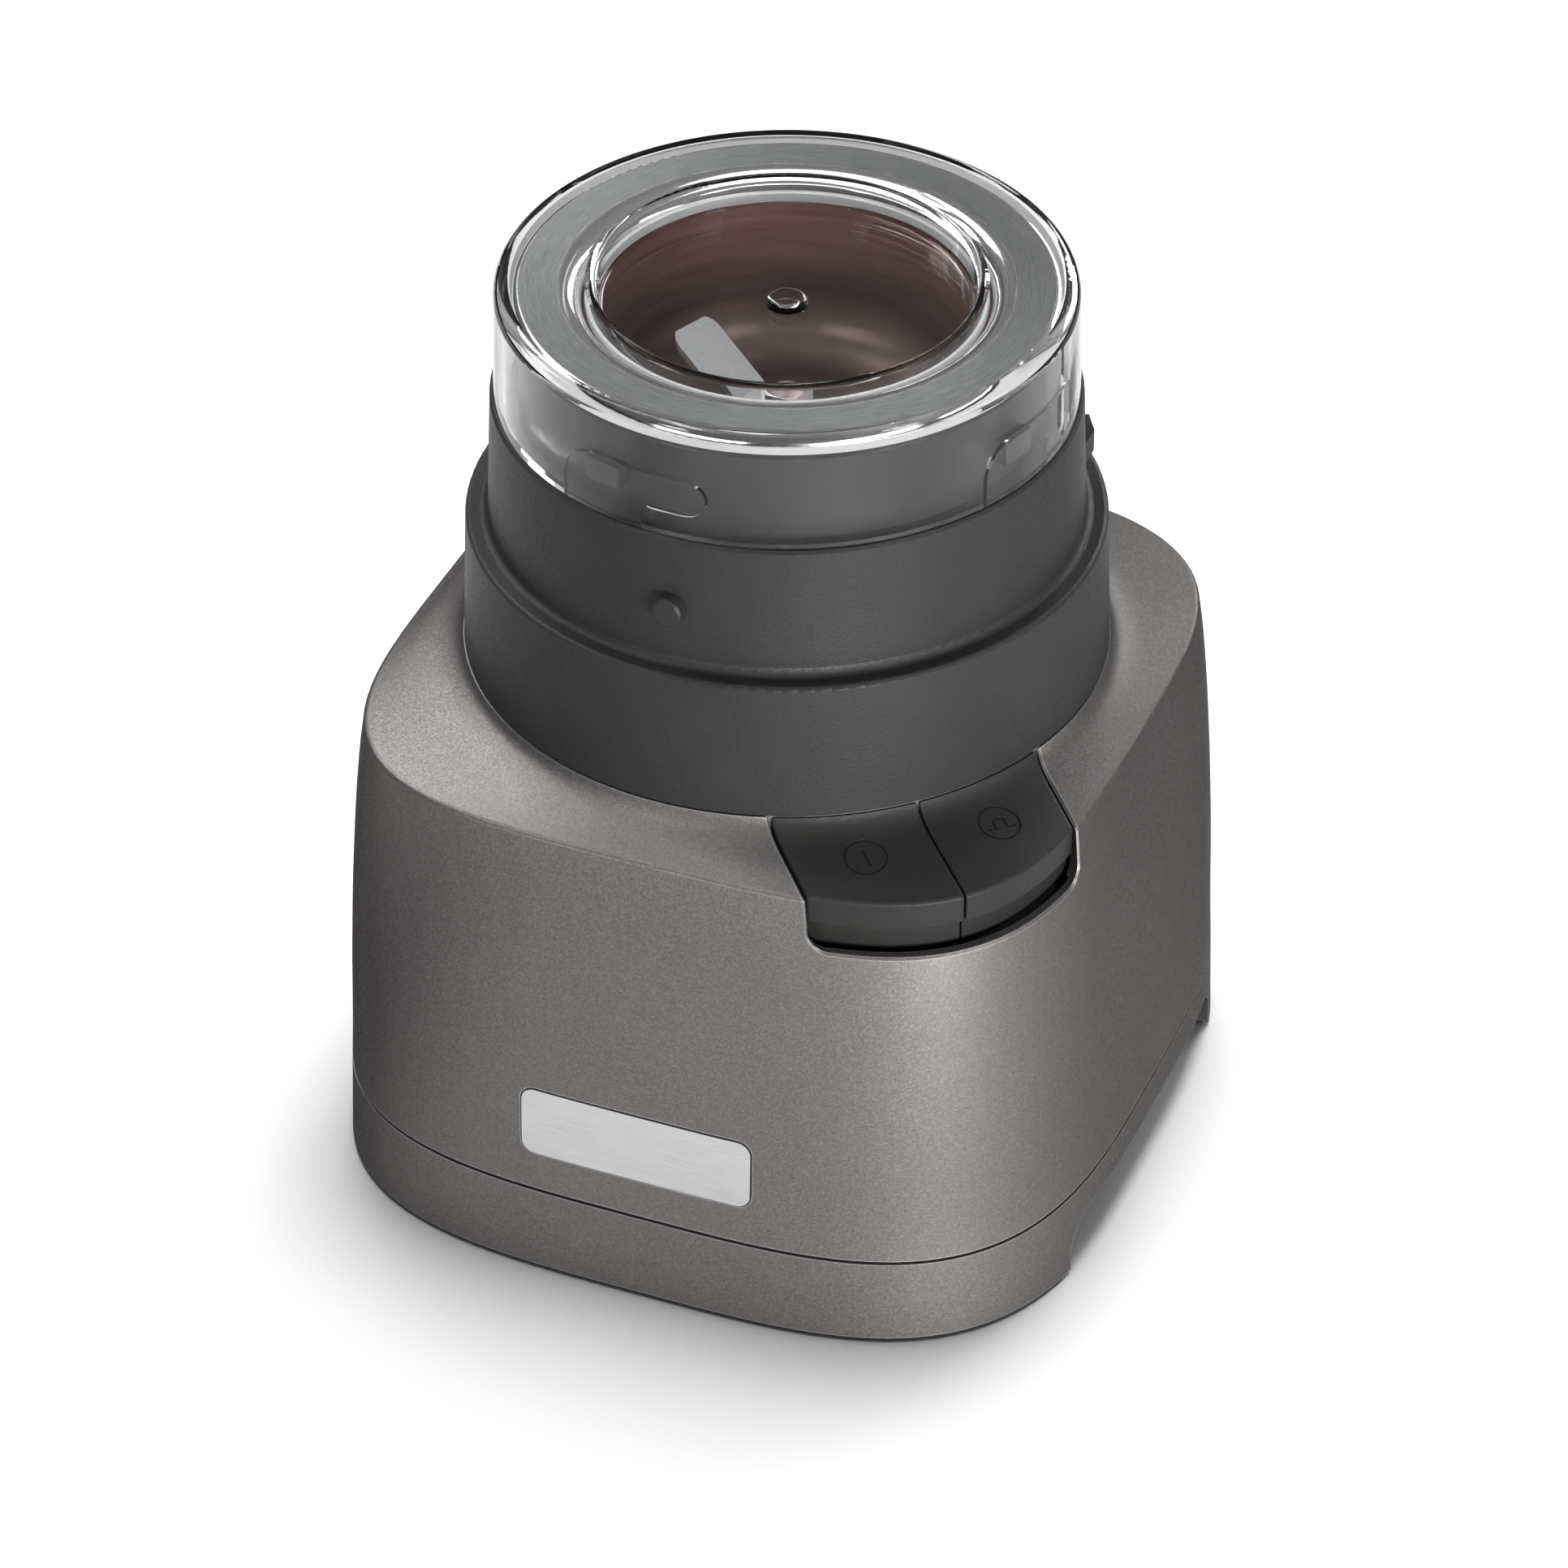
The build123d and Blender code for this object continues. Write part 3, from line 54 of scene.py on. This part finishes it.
# ------------------------------------------------------------------ node helpers
class Graph:
    """A material's node tree with one Principled shader and short ways to add nodes."""

    def __init__(self, name, **sockets):
        self.mat = bpy.data.materials.new(name)
        self.mat.use_nodes = True
        self.nt = self.mat.node_tree
        self.nt.nodes.clear()
        self.out = self.nt.nodes.new("ShaderNodeOutputMaterial")
        self.bsdf = self.nt.nodes.new("ShaderNodeBsdfPrincipled")
        self.nt.links.new(self.bsdf.outputs[0], self.out.inputs[0])
        self.set(**sockets)
        self._place = None

    def set(self, **sockets):
        for key, value in sockets.items():
            self.bsdf.inputs[key.replace("_", " ")].default_value = value

    def node(self, kind, **props):
        n = self.nt.nodes.new(kind)
        for key, value in props.items():
            setattr(n, key, value)
        return n

    def link(self, a, b):
        self.nt.links.new(a, b)

    def to(self, socket, name):
        self.nt.links.new(socket, self.bsdf.inputs[name])

    @property
    def place(self):
        """Position in the piece's own frame, in metres."""
        if self._place is None:
            self._place = self.node("ShaderNodeTexCoord").outputs["Object"]
        return self._place

    def math(self, op, a, b=None, c=None, clamp=False):
        n = self.node("ShaderNodeMath", operation=op, use_clamp=clamp)
        for i, v in enumerate((a, b, c)):
            if v is None:
                continue
            if isinstance(v, (int, float)):
                n.inputs[i].default_value = v
            else:
                self.link(v, n.inputs[i])
        return n.outputs[0]

    def vmath(self, op, a, b=None):
        n = self.node("ShaderNodeVectorMath", operation=op)
        for i, v in enumerate((a, b)):
            if v is None:
                continue
            if isinstance(v, (tuple, list)):
                n.inputs[i].default_value = v
            elif isinstance(v, (int, float)):
                n.inputs["Scale"].default_value = v
            else:
                self.link(v, n.inputs[i])
        return n.outputs["Value"] if op in ("LENGTH", "DOT_PRODUCT", "DISTANCE") else n.outputs["Vector"]

    def scaled(self, socket, factors):
        n = self.node("ShaderNodeVectorMath", operation="MULTIPLY")
        self.link(socket, n.inputs[0])
        n.inputs[1].default_value = factors
        return n.outputs["Vector"]

    def xyz(self, socket):
        n = self.node("ShaderNodeSeparateXYZ")
        self.link(socket, n.inputs[0])
        return n.outputs

    def combine(self, x, y, z):
        n = self.node("ShaderNodeCombineXYZ")
        for i, v in enumerate((x, y, z)):
            if isinstance(v, (int, float)):
                n.inputs[i].default_value = v
            else:
                self.link(v, n.inputs[i])
        return n.outputs[0]

    def noise(self, vector, scale, detail=2.0, rough=0.5, distortion=0.0):
        n = self.node("ShaderNodeTexNoise")
        self.link(vector, n.inputs["Vector"])
        n.inputs["Scale"].default_value = scale
        n.inputs["Detail"].default_value = detail
        n.inputs["Roughness"].default_value = rough
        n.inputs["Distortion"].default_value = distortion
        return n.outputs["Fac"]

    def voronoi(self, vector, scale, output="Color", feature="F1", randomness=1.0):
        n = self.node("ShaderNodeTexVoronoi", feature=feature)
        self.link(vector, n.inputs["Vector"])
        n.inputs["Scale"].default_value = scale
        n.inputs["Randomness"].default_value = randomness
        return n.outputs[output]

    def range(self, value, a, b, c, d, smooth=False):
        n = self.node("ShaderNodeMapRange", clamp=True)
        if smooth:
            n.interpolation_type = "SMOOTHSTEP"
        self.link(value, n.inputs[0])
        for i, v in enumerate((a, b, c, d)):
            n.inputs[i + 1].default_value = v
        return n.outputs[0]

    def ramp(self, value, stops):
        n = self.node("ShaderNodeValToRGB")
        self.link(value, n.inputs[0])
        els = n.color_ramp.elements
        while len(els) < len(stops):
            els.new(0.5)
        for e, (p, c) in zip(els, stops):
            e.position = p
            e.color = (*c, 1.0)
        return n.outputs["Color"]

    def mix(self, fac, a, b, blend="MIX"):
        n = self.node("ShaderNodeMix", data_type="RGBA", blend_type=blend)
        ins = [s for s in n.inputs if s.enabled]
        for s, v in zip((n.inputs["Factor"], ins[-2], ins[-1]), (fac, a, b)):
            if isinstance(v, (int, float)):
                s.default_value = v
            elif isinstance(v, (tuple, list)):
                s.default_value = (*v, 1.0) if len(v) == 3 else v
            else:
                self.link(v, s)
        return [o for o in n.outputs if o.enabled][0]

    def blend(self, fac, a, b):
        """Number between a and b by a factor."""
        n = self.node("ShaderNodeMix", data_type="FLOAT")
        ins = [s for s in n.inputs if s.enabled]
        for s, v in zip(ins, (fac, a, b)):
            if isinstance(v, (int, float)):
                s.default_value = v
            else:
                self.link(v, s)
        return [o for o in n.outputs if o.enabled][0]

    def bump(self, height, strength, distance, normal=None):
        n = self.node("ShaderNodeBump")
        self.link(height, n.inputs["Height"])
        n.inputs["Distance"].default_value = distance
        if isinstance(strength, (int, float)):
            n.inputs["Strength"].default_value = strength
        else:
            self.link(strength, n.inputs["Strength"])
        if normal is not None:
            self.link(normal, n.inputs["Normal"])
        return n.outputs[0]

    def polar(self):
        """(radius, x/r, y/r, z) sockets of the position about the vertical axis."""
        x, y, z = self.xyz(self.place)
        flat = self.combine(x, y, 0.0)
        unit = self.vmath("NORMALIZE", flat)
        ux, uy, _ = self.xyz(unit)
        return self.vmath("LENGTH", flat), ux, uy, z


# ------------------------------------------------------------------ finishes
def metallic_paint():
    """Warm grey metallic paint: satin, with fine flakes that catch the light one by one, and a painted highlight along
    edges: lighter and glossier where the surface turns.
    """
    g = Graph("metallic_grey_paint", Metallic=0.95, IOR=1.5, Specular_Tint=(0.12, 0.117, 0.115, 1.0))
    cell = g.voronoi(g.place, 3300.0)
    flake = g.xyz(cell)
    tilt = g.vmath("SCALE", g.vmath("SUBTRACT", cell, (0.5, 0.5, 0.5)), 0.055)
    geo = g.node("ShaderNodeNewGeometry")
    g.to(g.vmath("NORMALIZE", g.vmath("ADD", geo.outputs["Normal"], tilt)), "Normal")
    cloud = g.noise(g.place, 45.0, 3.0)
    tone = g.ramp(g.math("ADD", g.math("MULTIPLY", flake[0], 0.8), g.math("MULTIPLY", cloud, 0.2)),
                  [(0.0, (0.122, 0.116, 0.113)), (0.55, (0.143, 0.136, 0.133)), (1.0, (0.176, 0.168, 0.164))])
    # painted highlight: where the bevelled normal turns away from the surface normal the paint is made lighter and
    # glossier, standing in for light caught on the edges
    edge_highlight_bevel = g.node("ShaderNodeBevel", samples=4)
    edge_highlight_bevel.inputs["Radius"].default_value = 0.0006
    turn = g.vmath("DOT_PRODUCT", edge_highlight_bevel.outputs[0], geo.outputs["Normal"])
    edge = g.range(turn, 0.90, 0.99, 1.0, 0.0)
    g.to(g.mix(edge, tone, (0.36, 0.348, 0.340)), "Base Color")
    g.to(g.blend(edge, g.range(flake[1], 0.0, 1.0, 0.44, 0.54), 0.40), "Roughness")
    return g.mat


def spark_plastic(name, dark, light, grain=1500.0, rough=(0.46, 0.58), bump=0.30, smooth_from=None, ior=1.33):
    """Moulded plastic with a fine spark-eroded grain. Above smooth_from metres the moulding is polished."""
    g = Graph(name, IOR=ior)
    pebble = g.noise(g.place, grain, 3.0, 0.62, 0.6)
    cloud = g.noise(g.place, 60.0, 3.0)
    mottle = g.math("ADD", g.math("MULTIPLY", pebble, 0.6), g.math("MULTIPLY", cloud, 0.4))
    r = g.range(pebble, 0.3, 0.7, rough[1], rough[0])
    strength = bump
    if smooth_from is not None:
        z = g.xyz(g.place)[2]
        polished = g.range(z, smooth_from - 0.0004, smooth_from + 0.0004, 0.0, 1.0)
        mottle = g.blend(polished, mottle, cloud)
        r = g.blend(polished, r, g.range(cloud, 0.3, 0.7, 0.29, 0.33))
        strength = g.blend(polished, bump, 0.0)
    g.to(g.ramp(mottle, [(0.25, dark), (0.75, light)]), "Base Color")
    g.to(r, "Roughness")
    g.to(g.bump(pebble, strength, 0.00025), "Normal")
    return g.mat


def clear_plastic():
    """Clear polished moulding. Lamps reach through it."""
    g = Graph("clear_plastic", Transmission_Weight=1.0, IOR=1.45, Base_Color=(0.975, 0.982, 0.985, 1.0), Specular_Tint=(0.45, 0.45, 0.45, 1.0))
    ripple = g.noise(g.place, 55.0, 2.0)
    g.to(g.range(ripple, 0.3, 0.7, 0.006, 0.022), "Roughness")
    g.to(g.bump(ripple, 0.03, 0.0004), "Normal")
    lamp = g.node("ShaderNodeBsdfTransparent")
    lamp.inputs["Color"].default_value = (0.94, 0.95, 0.95, 1.0)
    path = g.node("ShaderNodeLightPath")
    both = g.node("ShaderNodeMixShader")
    g.link(path.outputs["Is Shadow Ray"], both.inputs[0])
    g.link(g.bsdf.outputs[0], both.inputs[1])
    g.link(lamp.outputs[0], both.inputs[2])
    g.link(both.outputs[0], g.out.inputs["Surface"])
    tint = g.node("ShaderNodeVolumeAbsorption")
    tint.inputs["Color"].default_value = (0.55, 0.56, 0.57, 1.0)
    tint.inputs["Density"].default_value = 60.0
    g.link(tint.outputs[0], g.out.inputs["Volume"])
    return g.mat


def turned_steel(name, tone, rough=(0.24, 0.36), lines=5200.0, bump=0.08, anisotropic=0.6):
    """Steel with fine rings about the vertical axis."""
    g = Graph(name, Metallic=1.0, Anisotropic=anisotropic)
    r, ux, uy, z = g.polar()
    streak = g.noise(g.combine(g.math("MULTIPLY", g.math("ADD", r, z), lines), g.math("MULTIPLY", ux, 7.0), g.math("MULTIPLY", uy, 7.0)), 1.0, 3.0, 0.65)
    cloud = g.noise(g.place, 90.0, 2.0)
    g.to(g.ramp(g.math("ADD", g.math("MULTIPLY", streak, 0.75), g.math("MULTIPLY", cloud, 0.25)),
                [(0.25, tuple(c * 0.80 for c in tone)), (0.5, tone), (0.78, tuple(min(1, c * 1.14) for c in tone))]), "Base Color")
    g.to(g.range(streak, 0.25, 0.75, *rough), "Roughness")
    g.to(g.bump(streak, bump, 0.0001), "Normal")
    tangent = g.node("ShaderNodeTangent", direction_type="RADIAL", axis="Z")
    g.to(tangent.outputs[0], "Tangent")
    return g.mat


def bowl_steel():
    """Spun bowl: circular brushed rim, polished bead and lip, darker brushed inside, with painted shade making the
    inside darker towards the bottom.
    """
    g = Graph("bowl_steel", Metallic=1.0, Anisotropic=0.3)
    r, ux, uy, z = g.polar()
    streak = g.noise(g.combine(g.math("MULTIPLY", g.math("ADD", r, z), 6200.0), g.math("MULTIPLY", ux, 9.0), g.math("MULTIPLY", uy, 9.0)), 1.0, 4.0, 0.7)
    broad = g.noise(g.combine(g.math("MULTIPLY", g.math("SUBTRACT", z, r), 420.0), g.math("MULTIPLY", ux, 1.5), g.math("MULTIPLY", uy, 1.5)), 1.0, 2.0, 0.5)
    rim = g.math("MULTIPLY", g.range(r, 0.0452, 0.0462, 0.0, 1.0), g.range(r, 0.0538, 0.0542, 1.0, 0.0))
    inside = g.range(r, 0.0407, 0.0412, 1.0, 0.0)
    brushed = g.math("MAXIMUM", rim, g.math("MULTIPLY", inside, 0.75))
    shine = g.ramp(streak, [(0.25, (0.145, 0.145, 0.146)), (0.5, (0.228, 0.228, 0.229)), (0.75, (0.335, 0.335, 0.336))])
    # painted shade: the brown inside is darkened towards the bottom of the bowl
    inside_brown_with_painted_shade = g.mix(g.range(z, 0.163, 0.192, 0.0, 1.0, True),
                 g.ramp(broad, [(0.3, (0.085, 0.060, 0.052)), (0.7, (0.130, 0.092, 0.080))]),
                 g.ramp(broad, [(0.3, (0.330, 0.185, 0.155)), (0.7, (0.450, 0.262, 0.222))]))
    polished = g.mix(brushed, (0.93, 0.925, 0.915), shine)
    g.to(g.mix(inside, polished, inside_brown_with_painted_shade), "Base Color")
    g.to(g.blend(brushed, g.range(streak, 0.3, 0.7, 0.07, 0.11), g.blend(inside, g.range(streak, 0.25, 0.75, 0.29, 0.41), g.range(streak, 0.25, 0.75, 0.50, 0.62))), "Roughness")
    g.to(g.bump(streak, g.blend(brushed, 0.004, 0.07), 0.0001), "Normal")
    tangent = g.node("ShaderNodeTangent", direction_type="RADIAL", axis="Z")
    g.to(tangent.outputs[0], "Tangent")
    return g.mat


def brushed_sheet(name, tone, along=(45.0, 5200.0, 5200.0), rough=(0.29, 0.42), metallic=1.0, bump=0.10):
    """Straight-brushed metal: streaks along one direction."""
    g = Graph(name, Metallic=metallic)
    streak = g.noise(g.scaled(g.place, along), 1.0, 4.0, 0.65)
    cloud = g.noise(g.place, 120.0, 2.0)
    g.to(g.ramp(g.math("ADD", g.math("MULTIPLY", streak, 0.8), g.math("MULTIPLY", cloud, 0.2)),
                [(0.25, tuple(c * 0.80 for c in tone)), (0.5, tone), (0.75, tuple(min(1, c * 1.12) for c in tone))]), "Base Color")
    g.to(g.range(streak, 0.25, 0.75, *rough), "Roughness")
    g.to(g.bump(streak, bump, 0.0001), "Normal")
    return g.mat


def grained(name, dark, light, scale, rough, bump, metallic=0.0, distance=0.0003, **more):
    """Plain moulding, casting or rubber with its own grain."""
    g = Graph(name, Metallic=metallic, **more)
    grain = g.noise(g.place, scale, 4.0, 0.6)
    cloud = g.noise(g.place, scale * 0.06, 2.0)
    g.to(g.ramp(g.math("ADD", g.math("MULTIPLY", grain, 0.55), g.math("MULTIPLY", cloud, 0.45)), [(0.28, dark), (0.72, light)]), "Base Color")
    g.to(g.range(grain, 0.3, 0.7, rough[0], rough[1]), "Roughness")
    g.to(g.bump(grain, bump, distance), "Normal")
    return g.mat


def laminated(name):
    """Stacked steel sheets, seen as fine lines round the stack."""
    g = Graph(name, Metallic=0.85)
    z = g.xyz(g.place)[2]
    sheet = g.math("FRACT", g.math("MULTIPLY", z, 1600.0))
    edge = g.math("MULTIPLY", g.range(sheet, 0.0, 0.18, 0.0, 1.0), g.range(sheet, 0.82, 1.0, 1.0, 0.0))
    grain = g.noise(g.place, 700.0, 3.0)
    g.to(g.mix(edge, (0.05, 0.05, 0.052), g.ramp(grain, [(0.3, (0.26, 0.26, 0.27)), (0.7, (0.36, 0.36, 0.37))])), "Base Color")
    g.to(g.range(grain, 0.3, 0.7, 0.42, 0.55), "Roughness")
    g.to(g.bump(edge, 0.35, 0.0002), "Normal")
    return g.mat


def wound(name, dark, light, vertical):
    """Enamelled wire, lying turn beside turn."""
    g = Graph(name, Metallic=0.9, Coat_Weight=0.4)
    g.set(Coat_Roughness=0.25)
    x, y, z = g.xyz(g.place)
    if vertical:
        across = g.math("ADD", g.math("ABSOLUTE", x), g.math("MULTIPLY", y, 0.35))
    else:
        across = g.vmath("LENGTH", g.combine(x, y, 0.0))
    wave = g.math("SINE", g.math("MULTIPLY", across, 9000.0))
    grain = g.noise(g.place, 260.0, 2.0)
    g.to(g.mix(g.range(wave, -1.0, 1.0, 0.0, 1.0), dark, g.ramp(grain, [(0.3, light), (0.7, tuple(c * 1.15 for c in light))])), "Base Color")
    g.to(g.range(grain, 0.3, 0.7, 0.28, 0.40), "Roughness")
    g.to(g.bump(wave, 0.5, 0.0003), "Normal")
    return g.mat


def circuit_board():
    """Printed circuit laminate with copper lands."""
    g = Graph("circuit_laminate", Coat_Weight=0.5)
    weave = g.noise(g.place, 1500.0, 2.0)
    lands = g.voronoi(g.place, 240.0, "Distance")
    spot = g.range(lands, 0.16, 0.20, 1.0, 0.0)
    g.to(g.mix(spot, g.ramp(weave, [(0.3, (0.02, 0.13, 0.05)), (0.7, (0.03, 0.19, 0.08))]), (0.55, 0.42, 0.20)), "Base Color")
    g.to(g.range(weave, 0.3, 0.7, 0.30, 0.42), "Roughness")
    g.to(g.bump(weave, 0.1, 0.0001), "Normal")
    return g.mat


FINISH = {
    "metallic_grey": metallic_paint(),
    "charcoal_plastic": spark_plastic("charcoal_plastic", (0.0090, 0.0090, 0.0092), (0.0155, 0.0155, 0.0158), smooth_from=0.1752),
    "key_plastic": spark_plastic("key_plastic", (0.0085, 0.0084, 0.0079), (0.0145, 0.0143, 0.0135), grain=2000.0, rough=(0.46, 0.56), bump=0.30, ior=1.28),
    "black_plastic": spark_plastic("black_plastic", (0.012, 0.012, 0.0125), (0.022, 0.022, 0.023), grain=1200.0),
    "clear_plastic": clear_plastic(),
    "clear_silicone": grained("pale_silicone", (0.50, 0.50, 0.49), (0.62, 0.62, 0.61), 900.0, (0.35, 0.5), 0.1, Transmission_Weight=0.6),
    "dark_rubber": grained("dark_rubber", (0.018, 0.018, 0.018), (0.035, 0.035, 0.035), 1400.0, (0.62, 0.8), 0.25),
    "badge_aluminium": brushed_sheet("brushed_aluminium", (0.56, 0.56, 0.56)),
    "bowl_steel": bowl_steel(),
    "blade_steel": brushed_sheet("ground_steel", (0.78, 0.78, 0.78), along=(2600.0, 2600.0, 300.0), rough=(0.28, 0.40), bump=0.06),
    "shaft_steel": turned_steel("shaft_steel", (0.58, 0.58, 0.575)),
    "zinc_steel": grained("zinc_plate", (0.45, 0.45, 0.47), (0.60, 0.60, 0.62), 900.0, (0.24, 0.38), 0.08, metallic=1.0),
    "spring_steel": brushed_sheet("spring_strip", (0.45, 0.45, 0.46), along=(300.0, 300.0, 4200.0)),
    "bearing_steel": turned_steel("bearing_steel", (0.62, 0.62, 0.63), rough=(0.12, 0.22)),
    "lamination_steel": laminated("lamination_steel"),
    "copper_wire": wound("copper_wire", (0.12, 0.04, 0.015), (0.55, 0.25, 0.11), True),
    "commutator_copper": turned_steel("commutator_copper", (0.70, 0.40, 0.26)),
    "brass_sheet": brushed_sheet("brass_sheet", (0.68, 0.52, 0.24)),
    "bronze": grained("sintered_bronze", (0.36, 0.25, 0.13), (0.52, 0.38, 0.21), 1800.0, (0.40, 0.55), 0.3, metallic=1.0),
    "bracket_alloy": grained("cast_alloy", (0.42, 0.42, 0.43), (0.56, 0.56, 0.57), 700.0, (0.42, 0.58), 0.3, metallic=1.0),
    "carbon": grained("pressed_carbon", (0.012, 0.012, 0.012), (0.025, 0.025, 0.026), 1600.0, (0.45, 0.6), 0.3),
    "board_laminate": circuit_board(),
    "fan_plastic": grained("fan_plastic", (0.06, 0.06, 0.065), (0.10, 0.10, 0.105), 500.0, (0.45, 0.6), 0.15),
    "dog_plastic": grained("hard_natural_plastic", (0.42, 0.41, 0.37), (0.52, 0.51, 0.47), 500.0, (0.38, 0.5), 0.1),
    "plunger_plastic": grained("red_plastic", (0.40, 0.05, 0.03), (0.52, 0.08, 0.05), 900.0, (0.35, 0.45), 0.1),
    "magnet": grained("plated_magnet", (0.22, 0.22, 0.23), (0.30, 0.30, 0.31), 900.0, (0.2, 0.32), 0.05, metallic=1.0),
}
SLOT_OF = {s["node"]: s["material_slot"] for s in frame["record"]["subparts"]}
for name, obj in NODES.items():
    obj.data.materials.clear()
    obj.data.materials.append(FINISH[SLOT_OF[name]])

# ------------------------------------------------------------------ spring leaves, copied as pieces of their own on the base
LEAVES = []
for name, joint in (("on_spring", "on_button_press"), ("pulse_spring", "pulse_button_press")):
    leaf = bpy.data.objects.new(name + "_leaf", NODES[name].data.copy())
    scene.collection.objects.link(leaf)
    leaf.matrix_world = NODES[name].matrix_world.copy()
    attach(leaf, "base")
    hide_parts(name)
    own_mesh(leaf)
    LEAVES.append(leaf)

# ------------------------------------------------------------------ floor, light, camera
bpy.ops.mesh.primitive_plane_add(size=1.9, location=(0, 0, 0))
floor = bpy.context.object
floor.name = "floor"
pale = Graph("pale_floor", IOR=1.3)
speck = pale.noise(pale.place, 24.0, 3.0)
tone = pale.ramp(speck, [(0.3, (0.835, 0.831, 0.830)), (0.7, (0.850, 0.846, 0.845))])
across, along, _ = pale.xyz(pale.place)
# painted shade in the floor: mirrored in the object the floor is darker at the front left and back right, and seen
# through the lid it is dimmer, as if cards stood there
flag = pale.math("MAXIMUM", pale.range(across, -0.16, -0.05, 0.12, 1.0, True), pale.range(along, -0.02, 0.10, 0.0, 1.0, True))
flag = pale.math("MAXIMUM", flag, pale.range(across, -0.25, -0.18, 1.0, 0.0, True))
behind = pale.math("MAXIMUM", pale.range(across, 0.05, 0.12, 1.0, 0.45, True), pale.range(along, 0.07, 0.15, 1.0, 0.0, True))
flag = pale.math("MULTIPLY", flag, behind)
path = pale.node("ShaderNodeLightPath").outputs
later = pale.math("ADD", path["Diffuse Depth"], path["Glossy Depth"], clamp=True)
share = pale.blend(path["Is Transmission Ray"], pale.blend(path["Is Glossy Ray"], 1.0, flag), pale.blend(later, 0.40, 0.80))
pale.to(pale.vmath("MULTIPLY", tone, pale.combine(share, share, share)), "Base Color")
pale.set(Roughness=0.9, Specular_IOR_Level=0.1)
floor.data.materials.append(pale.mat)

world = bpy.data.worlds.new("studio")
scene.world = world
world.use_nodes = True
sky = world.node_tree
direction = sky.nodes.new("ShaderNodeTexCoord")
axes = sky.nodes.new("ShaderNodeSeparateXYZ")
sky.links.new(direction.outputs["Generated"], axes.inputs[0])
dome = sky.nodes.new("ShaderNodeValToRGB")
sky.links.new(axes.outputs["Z"], dome.inputs[0])
dome.color_ramp.elements.new(0.5)
dome.color_ramp.elements.new(0.7)
dome.color_ramp.elements.new(0.8)
for stop, (position, tone) in zip(dome.color_ramp.elements, ((0.0, 0.03), (0.10, 0.08), (0.35, 0.24), (0.75, 0.26), (1.0, 0.36))):
    stop.position = position
    stop.color = (tone * 0.985, tone * 0.99, tone, 1.0)
side = sky.nodes.new("ShaderNodeMapRange")
sky.links.new(axes.outputs["X"], side.inputs[0])
for i, value in enumerate((-0.9, 0.9, 0.35, 1.15)):
    side.inputs[i + 1].default_value = value
depth = sky.nodes.new("ShaderNodeMapRange")
sky.links.new(axes.outputs["Y"], depth.inputs[0])
for i, value in enumerate((-0.9, 0.9, 0.50, 1.20)):
    depth.inputs[i + 1].default_value = value
both = sky.nodes.new("ShaderNodeMath")
both.operation = "MULTIPLY"
sky.links.new(side.outputs[0], both.inputs[0])
sky.links.new(depth.outputs[0], both.inputs[1])
background = sky.nodes["Background"]
sky.links.new(dome.outputs["Color"], background.inputs[0])
sky.links.new(both.outputs[0], background.inputs[1])


reach = {"object": bpy.data.collections.new("lit_object"), "floor": bpy.data.collections.new("lit_floor")}
reach["floor"].objects.link(floor)
for obj in [*NODES.values(), *LEAVES]:
    reach["object"].objects.link(obj)


def softbox(name, place, aim, size, watts, only=None):
    """Soft area lamp, flagged so that it reaches only the object or only the floor where that is said."""
    light = bpy.data.lights.new(name, "AREA")
    light.shape = "RECTANGLE"
    light.size, light.size_y = size
    light.energy = watts
    o = bpy.data.objects.new(name, light)
    scene.collection.objects.link(o)
    o.location = place
    if only:
        o.light_linking.receiver_collection = reach[only]
    o.rotation_euler = (Vector(aim) - Vector(place)).to_track_quat("-Z", "Y").to_euler()
    return o


softbox("overhead", (-0.40, 0.10, 2.0), (0, 0, 0), (1.3, 1.2), 6.0)
softbox("floor_wash", (-0.05, 0.38, 2.10), (0, 0.05, 0), (1.0, 1.0), 49.0, "floor")
softbox("overhead_small", (0.05, 0.35, 1.6), (0, 0, 0.10), (0.5, 0.5), 1.5)
softbox("overhead_left", (-0.96, 0.14, 1.80), (0, 0, 0.11), (0.5, 0.5), 6.0, "object")
softbox("left_top", (-1.20, 0.10, 1.0), (0, 0, 0.11), (0.4, 0.4), 6.0, "object")
softbox("back_band", (0.30, 1.50, 0.66), (0, 0, 0.11), (0.9, 0.34), 12.0)
softbox("back_left", (-0.92, 0.80, 1.36), (0, 0, 0.11), (0.5, 0.45), 12.5, "object")
softbox("right_side", (1.30, 0.10, 0.35), (0.07, 0, 0.07), (0.6, 0.4), 3.5, "object")
softbox("right_low", (1.05, -0.72, 0.22), (0.07, -0.07, 0.06), (0.7, 0.34), 10.0, "object")
softbox("front_right_low", (0.85, -0.95, 0.14), (0.07, -0.07, 0.05), (0.42, 0.24), 22.0, "object")
softbox("right_high", (1.05, -0.32, 1.32), (0.0, 0.0, 0.10), (0.30, 0.30), 6.0, "object")
softbox("front_low", (-0.25, -1.30, 0.20), (0, -0.05, 0.06), (0.8, 0.3), 5.0, "object")
softbox("front_high", (-0.50, -0.92, 1.30), (0.0, 0.0, 0.10), (0.22, 0.22), 5.0, "object")

camera = bpy.data.objects.new("camera", bpy.data.cameras.new("camera"))
scene.collection.objects.link(camera)
camera.location = (0.40014, -0.99090, 0.86947)
camera.rotation_euler = (math.radians(90 - 36.654), 0.0, math.radians(22.023))
camera.data.sensor_width = 36.0
camera.data.lens = 36.0 * 7745 / 1932
scene.camera = camera
scene.view_settings.view_transform = "Standard"
